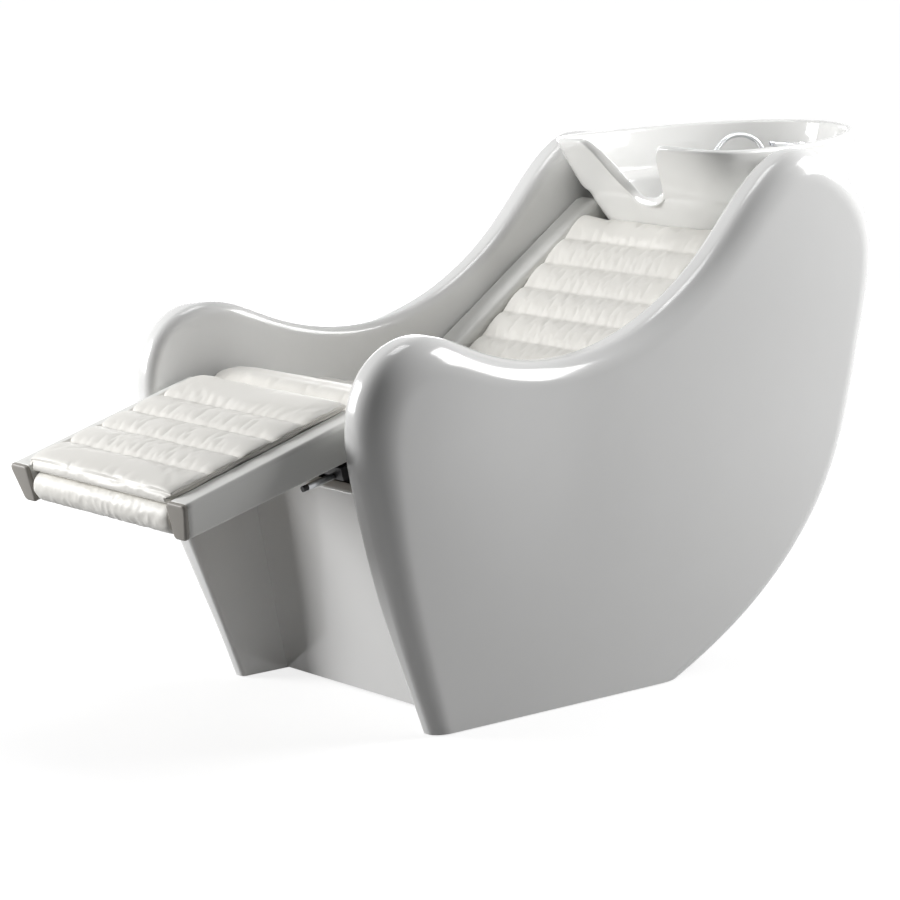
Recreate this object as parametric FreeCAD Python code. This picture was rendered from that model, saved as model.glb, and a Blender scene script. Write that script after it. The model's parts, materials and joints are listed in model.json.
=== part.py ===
import FreeCAD, Part
import math
import os

V = FreeCAD.Vector

# Sizes in millimetres. X runs across the unit, -Y is the client's front, Z is up.
# The origin is on the floor in the middle of the base plate.

# Side shells, read as one outline in the Y-Z plane
inner_half = 245.0
foot_thickness = 38.0
outer_lean = 0.044
foot_front = -286.0
nose_front = -471.0
nose_height = 530.0
arm_height = 681.0
dip_height = 612.0
peak_height = 931.0
peak_before_basin = 42.0
rear_behind_basin = 160.0
rear_bend_z = 0.628 * peak_height
foot_rear = 292.0
shell_lift = 2.0
foot_inside = 8.0
foot_outside = 20.0
arm_inside = 26.0
arm_outside = 26.0
shell_room = 120.0
shell_wall = 8.0
rim_wall = 20.0

# Leg rest, seat and back planes
hinge_y = -347.0
hinge_z = 537.0
leg_slope = 16.3
seat_slope = 10.0
back_slope = 38.5
seat_length = 455.0
seat_valley = 24.0
nose_radius = 34.0
pad_half = 212.0
back_half = 184.0
back_length = 484.0
back_channels = 7
back_shift = 20.0
leg_pad_start = 44.0
knee_roll = 94.0
leg_pitch = 67.0
leg_channels = 3
leg_toe = 85.0
leg_valley = 44.0
leg_board_front = 370.0
rail_length = 379.0
rail_side_gap = 3.0
rail_width = 49.0
rail_gap = 2.0
rail_tuck = 18.0
rail_top = 37.0
rail_bottom = 38.0
rail_front_bottom = 27.0
cap_thickness = 8.0
roll_radius = 27.0
pad_gap = 0.3
board = 12.0
pad_depth = 58.0
rail_outer = inner_half - rail_side_gap
leg_half = rail_outer - rail_width - rail_gap

# Steelwork
tube = 40.0
seat_tube = 26.0
plate = 6.0
strap = 8.0
pin_radius = 8.0
pin_fit = 0.05
arm_bar = 20.0
arm_drop = 62.0
arm_start = 70.0
arm_root = 40.0
stay_radius = 5.0
stay_reach = 62.0
stay_rise = 5.0
shaft_radius = 9.0
shaft_along = 100.0
shaft_drop = 52.0
yoke_slack = 5.0
fold_angle = 90.0 - leg_slope

# Basin, placed from the back's upper end
rim_above_back = 152.1
basin_behind_back = 106.0
basin_depth = 213.0
deck_depth = 89.0
bowl_depth = 187.0
basin_wall = 16.0
drain_set = 20.0
drain_radius = 22.0
mixer_x = 70.0
deck_set = 222.0
hose_radius = 5.5
hose_run = 35.0
hose_turn = 37.5
hose_bend = 0.45 * hose_run / math.tan(math.radians(hose_turn / 2))
mixer_radius = 22.0
mixer_height = 44.0
shank_radius = 14.0
shank_length = 50.0
ferrule_radius = 10.0
hose_x = -20.0

NODES = {}


def keep(name, shape):
    """Clean a shape and store it under its node name."""
    NODES[name] = shape.removeSplitter()


def box(x0, x1, y0, y1, z0, z1):
    """Box between two corners."""
    return Part.makeBox(x1 - x0, y1 - y0, z1 - z0, V(x0, y0, z0))


def both(x0, x1, y0, y1, z0, z1):
    """The same box on both sides of the middle plane."""
    return [box(x0, x1, y0, y1, z0, z1), box(-x1, -x0, y0, y1, z0, z1)]


def rod_x(y, z, radius, x0, x1):
    """Round bar along X."""
    return Part.makeCylinder(radius, x1 - x0, V(x0, y, z), V(1, 0, 0))


def round_bar(start, end, radius):
    """Round bar between two points."""
    run = end.sub(start)
    return Part.makeCylinder(radius, run.Length, start, run)


def fuse(shapes):
    """One solid from shapes that share faces or overlap."""
    return shapes[0].multiFuse(shapes[1:]).removeSplitter()


def turned(shape, angle, y, z):
    """Shape built about the origin, turned about X and moved to (y, z)."""
    out = shape.copy()
    out.rotate(V(0, 0, 0), V(1, 0, 0), angle)
    out.translate(V(0, y, z))
    return out


def leg(shape):
    """From the leg rest's own flat position to its place."""
    return turned(shape, leg_slope, hinge_y, hinge_z)


def seat(shape):
    """From the seat's own flat position to its place."""
    return turned(shape, -seat_slope, hinge_y, hinge_z)


def seat_point(y, z):
    """A point of the seat's flat position in its place."""
    a = math.radians(seat_slope)
    return (hinge_y + y * math.cos(a) + z * math.sin(a),
            hinge_z - y * math.sin(a) + z * math.cos(a))


back_foot_y, back_foot_z = seat_point(seat_length, seat_valley)
basin_y = back_foot_y + back_length * math.cos(math.radians(back_slope)) + basin_behind_back
rim_z = back_foot_z + back_length * math.sin(math.radians(back_slope)) + rim_above_back
basin_foot_z = rim_z - basin_depth
deck_z = rim_z - deck_depth
bowl_floor_z = rim_z - bowl_depth
drain_y = basin_y + drain_set
peak_y = basin_y - peak_before_basin
rear_most = basin_y + rear_behind_basin
deck_y = basin_y + deck_set


def back(shape):
    """From the back's own flat position to its place."""
    return turned(shape, back_slope, back_foot_y, back_foot_z)


def mirrored(shape):
    """The same shape on the other side of the middle plane."""
    return shape.mirror(V(0, 0, 0), V(1, 0, 0))


# Side shells

def side_curve():
    """Outline of a side shell from its front foot over the arm to its rear foot."""
    below = 60.0
    lean = (nose_front + 16.0 - foot_front) / (nose_height - 90.0)
    points = [
        (foot_front - lean * below, -below),
        (foot_front, 0.0),
        (nose_front + 16.0, nose_height - 90.0),
        (nose_front, nose_height),
        (nose_front + 31.0, arm_height - 46.0),
        (nose_front + 131.0, arm_height),
        (-205.0, arm_height - 36.0),
        (20.0, dip_height),
        (185.0, dip_height + 44.0),
        (peak_y - 198.0, dip_height + 156.0),
        (peak_y - 98.0, peak_height - 58.0),
        (peak_y, peak_height),
        (rear_most - 78.0, peak_height - 40.0),
        (rear_most - 4.0, peak_height - 131.0),
        (rear_most - 8.0, rear_bend_z),
        (rear_most - 70.0, 0.36 * peak_height),
        (rear_most - 250.0, 0.129 * peak_height),
        (foot_rear, 0.0),
        (foot_rear - 140.0, -below),
    ]
    curve = Part.BSplineCurve()
    curve.interpolate([V(0, y, z) for y, z in points])
    return curve


def inset_curve(curve, inset):
    """The outline moved inwards by an even distance."""
    first, last = curve.FirstParameter, curve.LastParameter
    count = 72
    points = []
    for i in range(count + 1):
        u = first + (last - first) * i / count
        tangent = curve.tangent(u)[0]
        points.append(curve.value(u).add(V(0, tangent.z, -tangent.y).multiply(inset)))
    moved = Part.BSplineCurve()
    moved.interpolate(points)
    return moved


def outline_prism(curve, x0, x1):
    """The area under an outline, carried from one X to another."""
    edge = curve.toShape()
    foot = Part.makeLine(edge.Vertexes[-1].Point, edge.Vertexes[0].Point)
    face = Part.Face(Part.Wire([edge, foot]))
    face.translate(V(x0, 0, 0))
    return face.extrude(V(x1 - x0, 0, 0))


def lean_cut(shape, gap):
    """Cut a side to its outer face, which leans outwards with height."""
    low, high = -100.0, 1100.0
    x_low = inner_half + foot_thickness + outer_lean * low - gap
    x_high = inner_half + foot_thickness + outer_lean * high - gap
    corners = [V(x_low, -900, low), V(900, -900, low), V(900, -900, high),
               V(x_high, -900, high)]
    face = Part.Face(Part.makePolygon(corners + [corners[0]]))
    return shape.cut(face.extrude(V(0, 2400, 0)))


curve = side_curve()


def rim_stretches(curve):
    """The outline cut at the nose and at the rear, where the rim's rounding changes."""
    nose = curve.parameter(V(0, nose_front, nose_height))
    rear = curve.parameter(V(0, rear_most - 8.0, rear_bend_z))
    stops = [curve.FirstParameter, nose, rear, curve.LastParameter]
    return [curve.toShape(stops[i], stops[i + 1]) for i in range(3)]


def rim_edges(shape, inside):
    """Numbers of the rim's edges on the inner or the outer face, front to rear."""
    found = []
    for number, edge in enumerate(shape.Edges, start=1):
        middle = edge.CenterOfMass
        if isinstance(edge.Curve, Part.BSplineCurve) and (middle.x < inner_half + 1.0) == inside:
            found.append((middle.y, number))
    return [number for y, number in sorted(found)]


def rim_radii(numbers, at_foot, at_arm):
    """Each rim edge with the radius at its start and at its end."""
    front, top, rear = numbers
    return [(front, at_foot, at_arm), (top, at_arm, at_arm), (rear, at_arm, at_foot)]


def rounded(shape, radii):
    """Round edges with a radius that changes along them."""
    work = FreeCAD.newDocument("rounding")
    base = work.addObject("Part::Feature", "Base")
    base.Shape = shape
    rounding = work.addObject("Part::Fillet", "Rounding")
    rounding.Base = base
    rounding.Edges = radii
    work.recompute()
    result = rounding.Shape.copy()
    FreeCAD.closeDocument(work.Name)
    return result


def side_shell():
    """Hollow side with a rounded rim, open at the floor."""
    edges = rim_stretches(curve)
    foot = Part.makeLine(edges[-1].Vertexes[-1].Point, edges[0].Vertexes[0].Point)
    face = Part.Face(Part.Wire(edges + [foot]))
    face.translate(V(inner_half, 0, 0))
    skin = lean_cut(face.extrude(V(shell_room, 0, 0)), 0.0).Solids[0]
    radii = rim_radii(rim_edges(skin, True), foot_inside, arm_inside)
    radii += rim_radii(rim_edges(skin, False), foot_outside, arm_outside)
    skin = rounded(skin, radii)
    core = outline_prism(inset_curve(curve, rim_wall), inner_half + shell_wall, inner_half + shell_room)
    core = lean_cut(core, shell_wall)
    floor = box(0, 600, -900, 1200, -200, shell_lift)
    return skin.cut(core).cut(floor)


left = side_shell()
keep("left_side_shell", left)
keep("right_side_shell", mirrored(left))

# Front panel between the sides, leaning forwards to the top
panel_foot = -186.0
panel_lean = 12.0
panel_height = 378.0
panel = box(-inner_half, inner_half, 0, plate, 4.0, panel_height / math.cos(math.radians(panel_lean)))
panel_lip = box(-inner_half, inner_half, 0, 30.0, 0, plate)
panel_lip.translate(V(0, 0, panel_height / math.cos(math.radians(panel_lean)) - plate))
keep("front_panel", turned(panel.fuse(panel_lip), panel_lean, panel_foot, 0))

# Rear shell that follows the sides' rear outline, up to the basin's overhang
rear_top = deck_z - 118.0
rear_low = 0.15 * peak_height
rear_set = 28.0
rear_wall = 10.0
rear_spare = 40.0
hatch_depth = 5.0
hatch_half = 150.0
hatch_low = 0.32 * peak_height
hatch_high = rear_top - 108.0
hatch_gap = 1.5
rebate = 18.0


def rear_parameter(line, z):
    """Where the rear of an outline passes one height."""
    step = (line.LastParameter - line.FirstParameter) / 400
    below = line.LastParameter
    while line.value(below - step).z < z:
        below -= step
    above = below - step
    for halving in range(40):
        middle = (above + below) / 2
        if line.value(middle).z < z:
            below = middle
        else:
            above = middle
    return (above + below) / 2


def rear_line(inset):
    """The rear outline, moved inwards, with some length to spare at both ends."""
    count = 12
    high = rear_top + rear_spare
    low = rear_low - rear_spare
    points = []
    for i in range(count + 1):
        place = rear_parameter(curve, high + (low - high) * i / count)
        tangent = curve.tangent(place)[0]
        points.append(curve.value(place).add(V(0, tangent.z, -tangent.y).multiply(inset)))
    line = Part.BSplineCurve()
    line.interpolate(points)
    return line


def rear_strip(inset, depth, low, high, half):
    """Strip of the rear wall between two heights, from one inset inwards by a depth."""
    sides = []
    for line in (rear_line(inset), rear_line(inset + depth)):
        sides.append(line.toShape(rear_parameter(line, high), rear_parameter(line, low)))
    outer, inner = sides
    ends = [Part.makeLine(outer.Vertexes[-1].Point, inner.Vertexes[-1].Point),
            Part.makeLine(inner.Vertexes[0].Point, outer.Vertexes[0].Point)]
    face = Part.Face(Part.Wire([outer, ends[0], inner, ends[1]]))
    face.translate(V(-half, 0, 0))
    return face.extrude(V(2 * half, 0, 0))


rear = rear_strip(rear_set, rear_wall, rear_low, rear_top, inner_half)
rear = rear.cut(rear_strip(rear_set - hatch_depth, 2 * hatch_depth, hatch_low, hatch_high, hatch_half))
rear = rear.cut(box(-hatch_half + rebate, hatch_half - rebate, 0.0, 2 * rear_most,
                    hatch_low + rebate, hatch_high - rebate))
hatch = rear_strip(rear_set, hatch_depth, hatch_low + hatch_gap, hatch_high - hatch_gap, hatch_half - hatch_gap)
screw_radius = 2.5
head_radius = 5.0
outside = rear_line(rear_set)


def rear_spot(z):
    """Point and outward direction on the rear shell's outside at one height."""
    place = rear_parameter(outside, z)
    along = outside.tangent(place)[0]
    return outside.value(place), V(0, -along.z, along.y)


screws = []
for x in (-hatch_half + 10.0, hatch_half - 10.0):
    for z in (hatch_low + 10.0, hatch_high - 10.0):
        spot, out = rear_spot(z)
        spot = spot.add(V(x, 0, 0))
        foot = spot.add(V(out).multiply(-rear_wall))
        shank = Part.makeCylinder(screw_radius, rear_wall, foot, out)
        drill = Part.makeCylinder(screw_radius, 3 * rear_wall, foot.add(V(out).multiply(-rear_wall)), out)
        hatch = hatch.cut(drill)
        rear = rear.cut(drill)
        screws.append(shank.fuse(Part.makeCylinder(head_radius, 2.5, spot, out)))
keep("rear_shell", rear)
keep("service_hatch", hatch)
keep("hatch_screws", Part.makeCompound(screws))

# Base plate, floor frame and uprights
base_front = -160.0
base_rear = 260.0
bolt_x = 180.0
bolt_y = 90.0
bolt_radius = 5.5
base = box(-inner_half, inner_half, base_front, base_rear, 0, plate)
for sx in (-1, 1):
    for sy in (-1, 1):
        base = base.cut(Part.makeCylinder(bolt_radius, plate, V(sx * bolt_x, sy * bolt_y, 0)))
keep("base_plate", base)

seat_low = -board - pad_depth + seat_valley - seat_tube
floor_top = plate + tube
side_tube = inner_half - tube
cradle_z = basin_foot_z - 32.0
uprights = both(side_tube, inner_half, -110.0, -110.0 + tube, floor_top, 700.0)
uprights += both(side_tube, inner_half, 50.0, 50.0 + tube, floor_top, 700.0)
above_seat = seat(box(-400, 400, -400, 900, seat_low, 500))
uprights = [u.cut(above_seat) for u in uprights]
strut_lean = math.degrees(math.atan2(cradle_z - floor_top, basin_y - 30.0 - base_rear))
strut = turned(box(side_tube, inner_half, -60.0, 800.0, 0, tube - 5.0), strut_lean, base_rear, floor_top)
strut = strut.cut(box(-400, 400, -900, 1200, -400, floor_top))
strut = strut.cut(box(-400, 400, -900, 1200, cradle_z, 1400))
struts = [strut, mirrored(strut)]
rails = both(side_tube, inner_half, base_front, base_rear, plate, floor_top)
crossbars = [box(-side_tube, side_tube, base_front, base_front + tube, plate, floor_top),
             box(-side_tube, side_tube, base_rear - tube, base_rear, plate, floor_top)]
keep("base_frame", fuse(rails + crossbars + uprights + struts))

# Seat frame with hinge lugs, seat board and seat cushion
frame_top = seat_low + seat_tube
tube_in = inner_half - pad_gap - seat_tube
lug_in = 228.0
lug_out = 236.0
lug_back = 160.0
lug_radius = 16.0
bolster_start = 104.0
ear_end = bolster_start - 2.0
ear_drop = 80.0
frame_start = 125.0
frame_end = seat_length - 4.0
parts = both(tube_in, inner_half - pad_gap, frame_start, frame_end, seat_low, frame_top)
parts += [box(-tube_in, tube_in, lug_back - seat_tube, lug_back, frame_top - 15.0, frame_top),
          box(-tube_in, tube_in, frame_end - seat_tube, frame_end, seat_low, frame_top)]
for side in (-1, 1):
    x0 = min(side * lug_in, side * lug_out)
    ear = fuse([rod_x(0, 0, lug_radius, x0, x0 + strap),
                box(x0, x0 + strap, 0, ear_end, -lug_radius, lug_radius),
                box(x0, x0 + strap, ear_drop, ear_end, seat_low, lug_radius),
                box(x0, x0 + strap, ear_drop, lug_back, seat_low, frame_top)])
    parts.append(ear.cut(rod_x(0, 0, pin_radius, x0 - 1, x0 + strap + 1)))
keep("seat_frame", seat(fuse(parts)))
board_start = 92.0
board_z = seat_valley - pad_depth
keep("seat_board", seat(box(-pad_half, pad_half, board_start, seat_length - 6.0, board_z - board, board_z)))

pins = [rod_x(0, 0, pin_radius, 215.0, lug_out + 2.0), rod_x(0, 0, pin_radius, -lug_out - 2.0, -215.0)]
heads = [rod_x(0, 0, pin_radius + 4.0, lug_out, lug_out + 4.0),
         rod_x(0, 0, pin_radius + 4.0, -lug_out - 4.0, -lug_out)]
keep("hinge_pins", Part.makeCompound([seat(pins[0].fuse(heads[0])), seat(pins[1].fuse(heads[1]))]))


def arc(p, q, bulge):
    """Arc from p to q that rises by bulge over its chord, all in the Y-Z plane."""
    mid = p.add(q).multiply(0.5)
    run = q.sub(p)
    across = V(0, -run.z, run.y).normalize()
    return Part.Arc(p, mid.add(across.multiply(bulge)), q).toShape()


def lines(points):
    """Straight edges through points."""
    return [Part.makeLine(points[i], points[i + 1]) for i in range(len(points) - 1)]


def channel_wire(x, ends, valley, bulge, under):
    """Closed section of a channelled pad: crowned rolls over an underside given by its corners."""
    tops = [V(x, y, valley) for y in ends]
    edges = [arc(tops[i], tops[i + 1], bulge) for i in range(len(tops) - 1)]
    edges += lines([tops[-1]] + [V(x, y, z) for y, z in under] + [tops[0]])
    return Part.Wire(edges)


def channel_pad(ends, half, valley, bulge, under, draw):
    """Channelled pad whose rolls fall away to drawn-in sides."""
    wires = [channel_wire(-half, ends, valley - draw, bulge * 0.35, under),
             channel_wire(-half + 2.2 * draw, ends, valley, bulge, under),
             channel_wire(half - 2.2 * draw, ends, valley, bulge, under),
             channel_wire(half, ends, valley - draw, bulge * 0.35, under)]
    return Part.makeLoft(wires, True, True)


def nose_wire(x, radius, ends, valley, bulge, low):
    """Seat section: a round nose about the hinge, then crowned rolls."""
    front = V(x, -radius, 0)
    crest = V(x, 0, radius)
    under = V(x, 0, -radius)
    bend = radius * math.sqrt(0.5)
    edges = [Part.Arc(under, V(x, -bend, -bend), front).toShape(),
             Part.Arc(front, V(x, -bend, bend), crest).toShape()]
    tops = [crest] + [V(x, y, valley) for y in ends]
    edges += [arc(tops[i], tops[i + 1], bulge) for i in range(len(tops) - 1)]
    edges += lines([tops[-1], V(x, ends[-1], low), V(x, board_start - 4.0, low), under])
    return Part.Wire(edges)


seat_rolls = [100.0 + i * (seat_length - 8.0 - 100.0) / 5 for i in range(6)]
side_draw = 9.0
wires = [nose_wire(-pad_half, nose_radius - 8.0, seat_rolls, seat_valley - side_draw, 2.5, board_z),
         nose_wire(-pad_half + 22.0, nose_radius, seat_rolls, seat_valley, 9.0, board_z),
         nose_wire(pad_half - 22.0, nose_radius, seat_rolls, seat_valley, 9.0, board_z),
         nose_wire(pad_half, nose_radius - 8.0, seat_rolls, seat_valley - side_draw, 2.5, board_z)]
keep("seat_cushion", seat(Part.makeLoft(wires, True, True)))


def plain_strip(x0, x1, y0, y1, z0, z1):
    """Plain padded strip with rounded top edges."""
    strip = box(x0, x1, y0, y1, z0, z1)
    top = [e for e in strip.Edges if abs(e.CenterOfMass.z - z1) < 0.1]
    return strip.makeFillet(9.0, top)


seat_strip = plain_strip(pad_half + pad_gap, inner_half - pad_gap, bolster_start, seat_length - 20.0,
                         frame_top, seat_valley - 4.0)
keep("left_seat_bolster", seat(seat_strip))
keep("right_seat_bolster", mirrored(NODES["left_seat_bolster"]))

# Back frame, board, channelled cushion and the plain bolsters beside it
back_low = -pad_depth - board - seat_tube
back_in = 200.0
frame_high = back_length - 34.0
board_high = back_length - 18.0
parts = both(back_in, back_in + seat_tube, 14.0, frame_high, back_low, -pad_depth - board)
parts += [box(-back_in, back_in, 30.0, 30.0 + seat_tube, back_low, -pad_depth - board),
          box(-back_in, back_in, frame_high - 4.0 - seat_tube, frame_high - 4.0, back_low, -pad_depth - board)]
keep("back_frame", back(fuse(parts)))
keep("back_board", back(box(-inner_half + pad_gap, inner_half - pad_gap, 8.0, board_high,
                            -pad_depth - board, -pad_depth)))
back_pitch = (back_length - back_shift) / back_channels
back_rolls = [8.0] + [back_shift + back_pitch * (i + 1) for i in range(back_channels)]
back_under = [(back_rolls[-1], -pad_depth), (back_rolls[0], -pad_depth)]
keep("back_cushion", back(channel_pad(back_rolls, back_half, 0.0, 14.0, back_under, side_draw)))


def wedge_strip(x0, x1, y0, y1, low, top_start, top_end):
    """Plain padded strip whose rounded top falls from its lower to its upper end."""
    corners = [V(x0, y0, low), V(x0, y1, low), V(x0, y1, top_end), V(x0, y0, top_start)]
    face = Part.Face(Part.makePolygon(corners + [corners[0]]))
    strip = face.extrude(V(x1 - x0, 0, 0))
    middle = (top_start + top_end) / 2
    top = [e for e in strip.Edges if e.Length > 100.0 and abs(e.CenterOfMass.z - middle) < 0.1]
    return strip.makeFillet(strip_round, top)


strip_low_top = 29.0
strip_high_top = -7.0
strip_round = 7.0
back_strip = wedge_strip(back_half + pad_gap, inner_half - pad_gap, 8.0, back_length - 14.0,
                         -pad_depth, strip_low_top, strip_high_top)
keep("left_back_bolster", back(back_strip))
keep("right_back_bolster", mirrored(NODES["left_back_bolster"]))

# Leg rest in its own flat position: -Y runs out from the hinge, and the cushion laps over the roll
leg_board_top = -4.0
leg_board_thickness = 10.0
leg_draw = 4.0
leg_bulge = 8.0
lap_gap = 1.5
roll_y = -leg_board_front - 11.0 - roll_radius
roll_z = -2.0
lap_low = roll_z + roll_radius + lap_gap
leg_ends = [-leg_pad_start] + [-leg_pad_start - knee_roll - leg_pitch * i for i in range(leg_channels + 1)]
leg_ends += [leg_ends[-1] - leg_toe]
leg_ends.reverse()
leg_under = [(-leg_pad_start, leg_board_top), (-leg_board_front, leg_board_top),
             (-leg_board_front, lap_low), (leg_ends[0], lap_low)]
keep("leg_cushion", leg(channel_pad(leg_ends, leg_half, leg_valley, leg_bulge, leg_under, leg_draw)))
leg_board_low = leg_board_top - leg_board_thickness
keep("leg_board", leg(box(-leg_half, leg_half, -leg_board_front, -leg_pad_start - 2.0,
                          leg_board_low, leg_board_top)))


def rail_wire(y, bottom, top):
    """Section of a padded side rail across its length."""
    x0 = leg_half + rail_gap
    return Part.makePolygon([V(x0, y, top - 4.0), V(x0 + 10.0, y, top), V(rail_outer - 8.0, y, top),
                             V(rail_outer, y, top - 8.0), V(rail_outer - rail_tuck, y, -bottom),
                             V(x0 + 6.0, y, -bottom), V(x0, y, -bottom + 6.0), V(x0, y, top - 4.0)])


rail_start = leg_pad_start
rail_end = rail_start + rail_length
rail = Part.makeLoft([rail_wire(-rail_start, rail_bottom, rail_top),
                      rail_wire(-rail_end, rail_front_bottom, rail_top)], True, True)
keep("left_leg_rail", leg(rail))
keep("right_leg_rail", mirrored(NODES["left_leg_rail"]))
cap = Part.makeLoft([rail_wire(-rail_end, rail_front_bottom, rail_top),
                     rail_wire(-rail_end - cap_thickness, rail_front_bottom, rail_top)], True, True)
keep("leg_rail_caps", Part.makeCompound([leg(cap), leg(mirrored(cap))]))

# Front roll on a bar between the rails
bar_half = leg_half + rail_gap
keep("roll_bar", leg(rod_x(roll_y, roll_z, pin_radius, -bar_half, bar_half)))
ends = [Part.makeCircle(r, V(x, roll_y, roll_z), V(1, 0, 0))
        for x, r in ((-leg_half + 3, roll_radius - 7), (-leg_half + 17, roll_radius),
                     (leg_half - 17, roll_radius), (leg_half - 3, roll_radius - 7))]
roll = Part.makeLoft([Part.Wire([e]) for e in ends], True, True)
keep("leg_front_roll", leg(roll.cut(rod_x(roll_y, roll_z, pin_radius, -bar_half, bar_half))))

# Leg frame: hinge straps, short arms with slender stays, cross tubes and the drive shaft
bars_low = -rail_bottom
arm_in = 190.0
arm_out = arm_in + arm_bar
arm_end = arm_start + arm_root
strap_in = 216.0
fork_room = 24.0
parts = both(arm_in, arm_out, -arm_end, -arm_start, -arm_drop, bars_low)
parts += both(fork_room, arm_in, -arm_start - 18.0, -arm_start, -arm_drop, bars_low)
parts += [rod_x(-shaft_along, -shaft_drop, shaft_radius, -arm_in, arm_in)]
parts += both(140.0, 164.0, -leg_board_front, -rail_start - 2.0, bars_low, leg_board_low)
for side in (-1, 1):
    x0 = min(side * strap_in, side * (strap_in + strap))
    hook = fuse([rod_x(0, 0, lug_radius, x0, x0 + strap),
                 box(x0, x0 + strap, -rail_start + 3.0, lug_radius / 2, -arm_drop, 0),
                 box(x0, x0 + strap, -arm_end, 0, -arm_drop, bars_low - 2.0)])
    parts.append(hook.cut(rod_x(0, 0, pin_radius + pin_fit, x0 - 1, x0 + strap + 1)))
parts += both(arm_out, strap_in, -arm_end, -arm_start, -arm_drop, bars_low - 2.0)
stay_x = (arm_in + arm_out) / 2
stay_z = stay_radius - arm_drop
stays = []
plugs = []
for side in (-1, 1):
    root = V(side * stay_x, -arm_end + 1.0, stay_z)
    run = V(0, -stay_reach, stay_rise)
    stays.append(round_bar(root, root.add(run), stay_radius))
    tip = V(run).normalize().multiply(stay_radius)
    plugs.append(round_bar(root.add(run), root.add(run).add(tip), stay_radius))
keep("leg_frame", leg(fuse(parts + stays)))
keep("tube_plugs", Part.makeCompound([leg(p) for p in plugs]))

# Drive: a fixed motor tube under the seat, and a rod with a slotted yoke round the shaft


def shaft_in_seat(fold):
    """Drive shaft's place in the seat's flat position, for a fold angle."""
    a = math.radians(leg_slope + seat_slope + fold)
    y, z = -shaft_along, -shaft_drop
    return y * math.cos(a) - z * math.sin(a), y * math.sin(a) + z * math.cos(a)


rest_y, rest_z = shaft_in_seat(0.0)
fold_y, fold_z = shaft_in_seat(fold_angle)
stroke = fold_y - rest_y
low_z = min(shaft_in_seat(fold_angle * i / 20)[1] for i in range(21))
high_z = max(rest_z, fold_z)
drive_z = (low_z + high_z) / 2
slot_wide = shaft_radius + yoke_slack
yoke_half = 12.0
rod_radius = 10.0
tube_radius = 20.0
tube_front = fold_y + slot_wide + 34.0
tube_rear = tube_front + stroke + 70.0
prong = 7.0
fork_top = high_z + shaft_radius
yoke = box(-yoke_half, yoke_half, rest_y - slot_wide - prong, rest_y + slot_wide + prong,
           low_z - shaft_radius - 2.0 - prong, fork_top)
yoke = yoke.cut(box(-yoke_half, yoke_half, rest_y - slot_wide, rest_y + slot_wide,
                    low_z - shaft_radius - 2.0, fork_top))
rod_start = rest_y + slot_wide + prong
rod_end = tube_front + stroke + 20.0
piston = Part.makeCylinder(rod_radius, rod_end - stroke - rod_start + 6.0, V(0, rod_start, drive_z), V(0, 1, 0))
keep("actuator_rod", seat(yoke.fuse(piston)))
barrel = Part.makeCylinder(tube_radius, tube_rear - tube_front, V(0, tube_front, drive_z), V(0, 1, 0))
barrel = barrel.cut(Part.makeCylinder(rod_radius + pin_fit, rod_end - tube_front + 8.0,
                                      V(0, tube_front, drive_z), V(0, 1, 0)))
gearbox = box(-24.0, 24.0, tube_rear - 2.0, tube_rear + 46.0, drive_z - 75.0, drive_z + 24.0)
motor = Part.makeCylinder(21.0, 110.0, V(0, tube_rear - 2.0, drive_z - 50.0), V(0, -1, 0))
keep("actuator_body", seat(fuse([barrel, gearbox, motor])))
hanger = box(-30.0, 30.0, tube_rear + 46.0, tube_rear + 52.0, drive_z - 60.0, frame_top)
hanger = hanger.fuse(box(-30.0, 30.0, tube_rear + 46.0, frame_end - seat_tube, frame_top - 6.0, frame_top))
yoke_tail = box(-30.0, 30.0, frame_end - seat_tube - 6.0, frame_end - seat_tube, seat_low, frame_top)
keep("actuator_bracket", seat(hanger.fuse(yoke_tail)))

# Basin


def egg(z, half, middle, front, rear):
    """Closed plan of the basin at one height: squared front, round rear, offsets from its middle."""
    points = []
    count = 9
    for i in range(count):
        turn = math.pi / 2 * i / (count - 1)
        x = half * math.sin(turn) ** (2 / 3.0)
        points.append((x, middle - (middle - front) * math.cos(turn) ** (2 / 3.0)))
    for i in range(1, count):
        turn = math.pi / 2 * i / (count - 1)
        points.append((half * math.cos(turn), middle + (rear - middle) * math.sin(turn)))
    ring = points + [(-x, y) for x, y in reversed(points[1:-1])]
    plan = Part.BSplineCurve()
    plan.interpolate([V(x, basin_y + y, z) for x, y in ring], PeriodicFlag=True)
    return Part.Wire([plan.toShape()])


basin_half = 225.0
basin_front = -198.0
basin_rear = 348.0
under_deck = deck_z - basin_wall
knee_z = deck_z - 56.0
heel_z = deck_z - 86.0
upper = [egg(rim_z, basin_half, 0.0, basin_front, basin_rear),
         egg(deck_z + 10.0, basin_half - 5.0, 10.0, basin_front + 52.0, basin_rear - 8.0),
         egg(under_deck, basin_half - 9.0, 10.0, basin_front + 70.0, basin_rear - 20.0)]
lower = [egg(under_deck + 2.0, basin_half - 20.0, 10.0, basin_front + 69.0, basin_rear - 146.0),
         egg(knee_z, basin_half - 35.0, 16.0, basin_front + 97.0, basin_rear - 174.0),
         egg(heel_z, basin_half - 63.0, 20.0, basin_front + 117.0, basin_rear - 203.0),
         egg(basin_foot_z, basin_half - 107.0, 22.0, basin_front + 144.0, basin_rear - 246.0)]
body = Part.makeLoft(upper, True, True).fuse(Part.makeLoft(lower, True, True))
tub_half = basin_half - basin_wall
tub_front = basin_front + basin_wall
tub_rear = basin_rear - basin_wall
tub = Part.makeLoft([egg(rim_z + 5.0, tub_half + 1.0, 0.0, tub_front - 1.0, tub_rear + 1.0),
                     egg(deck_z, tub_half - 6.0, 10.0, tub_front + 59.0, tub_rear - 12.0)], True, True)
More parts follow.
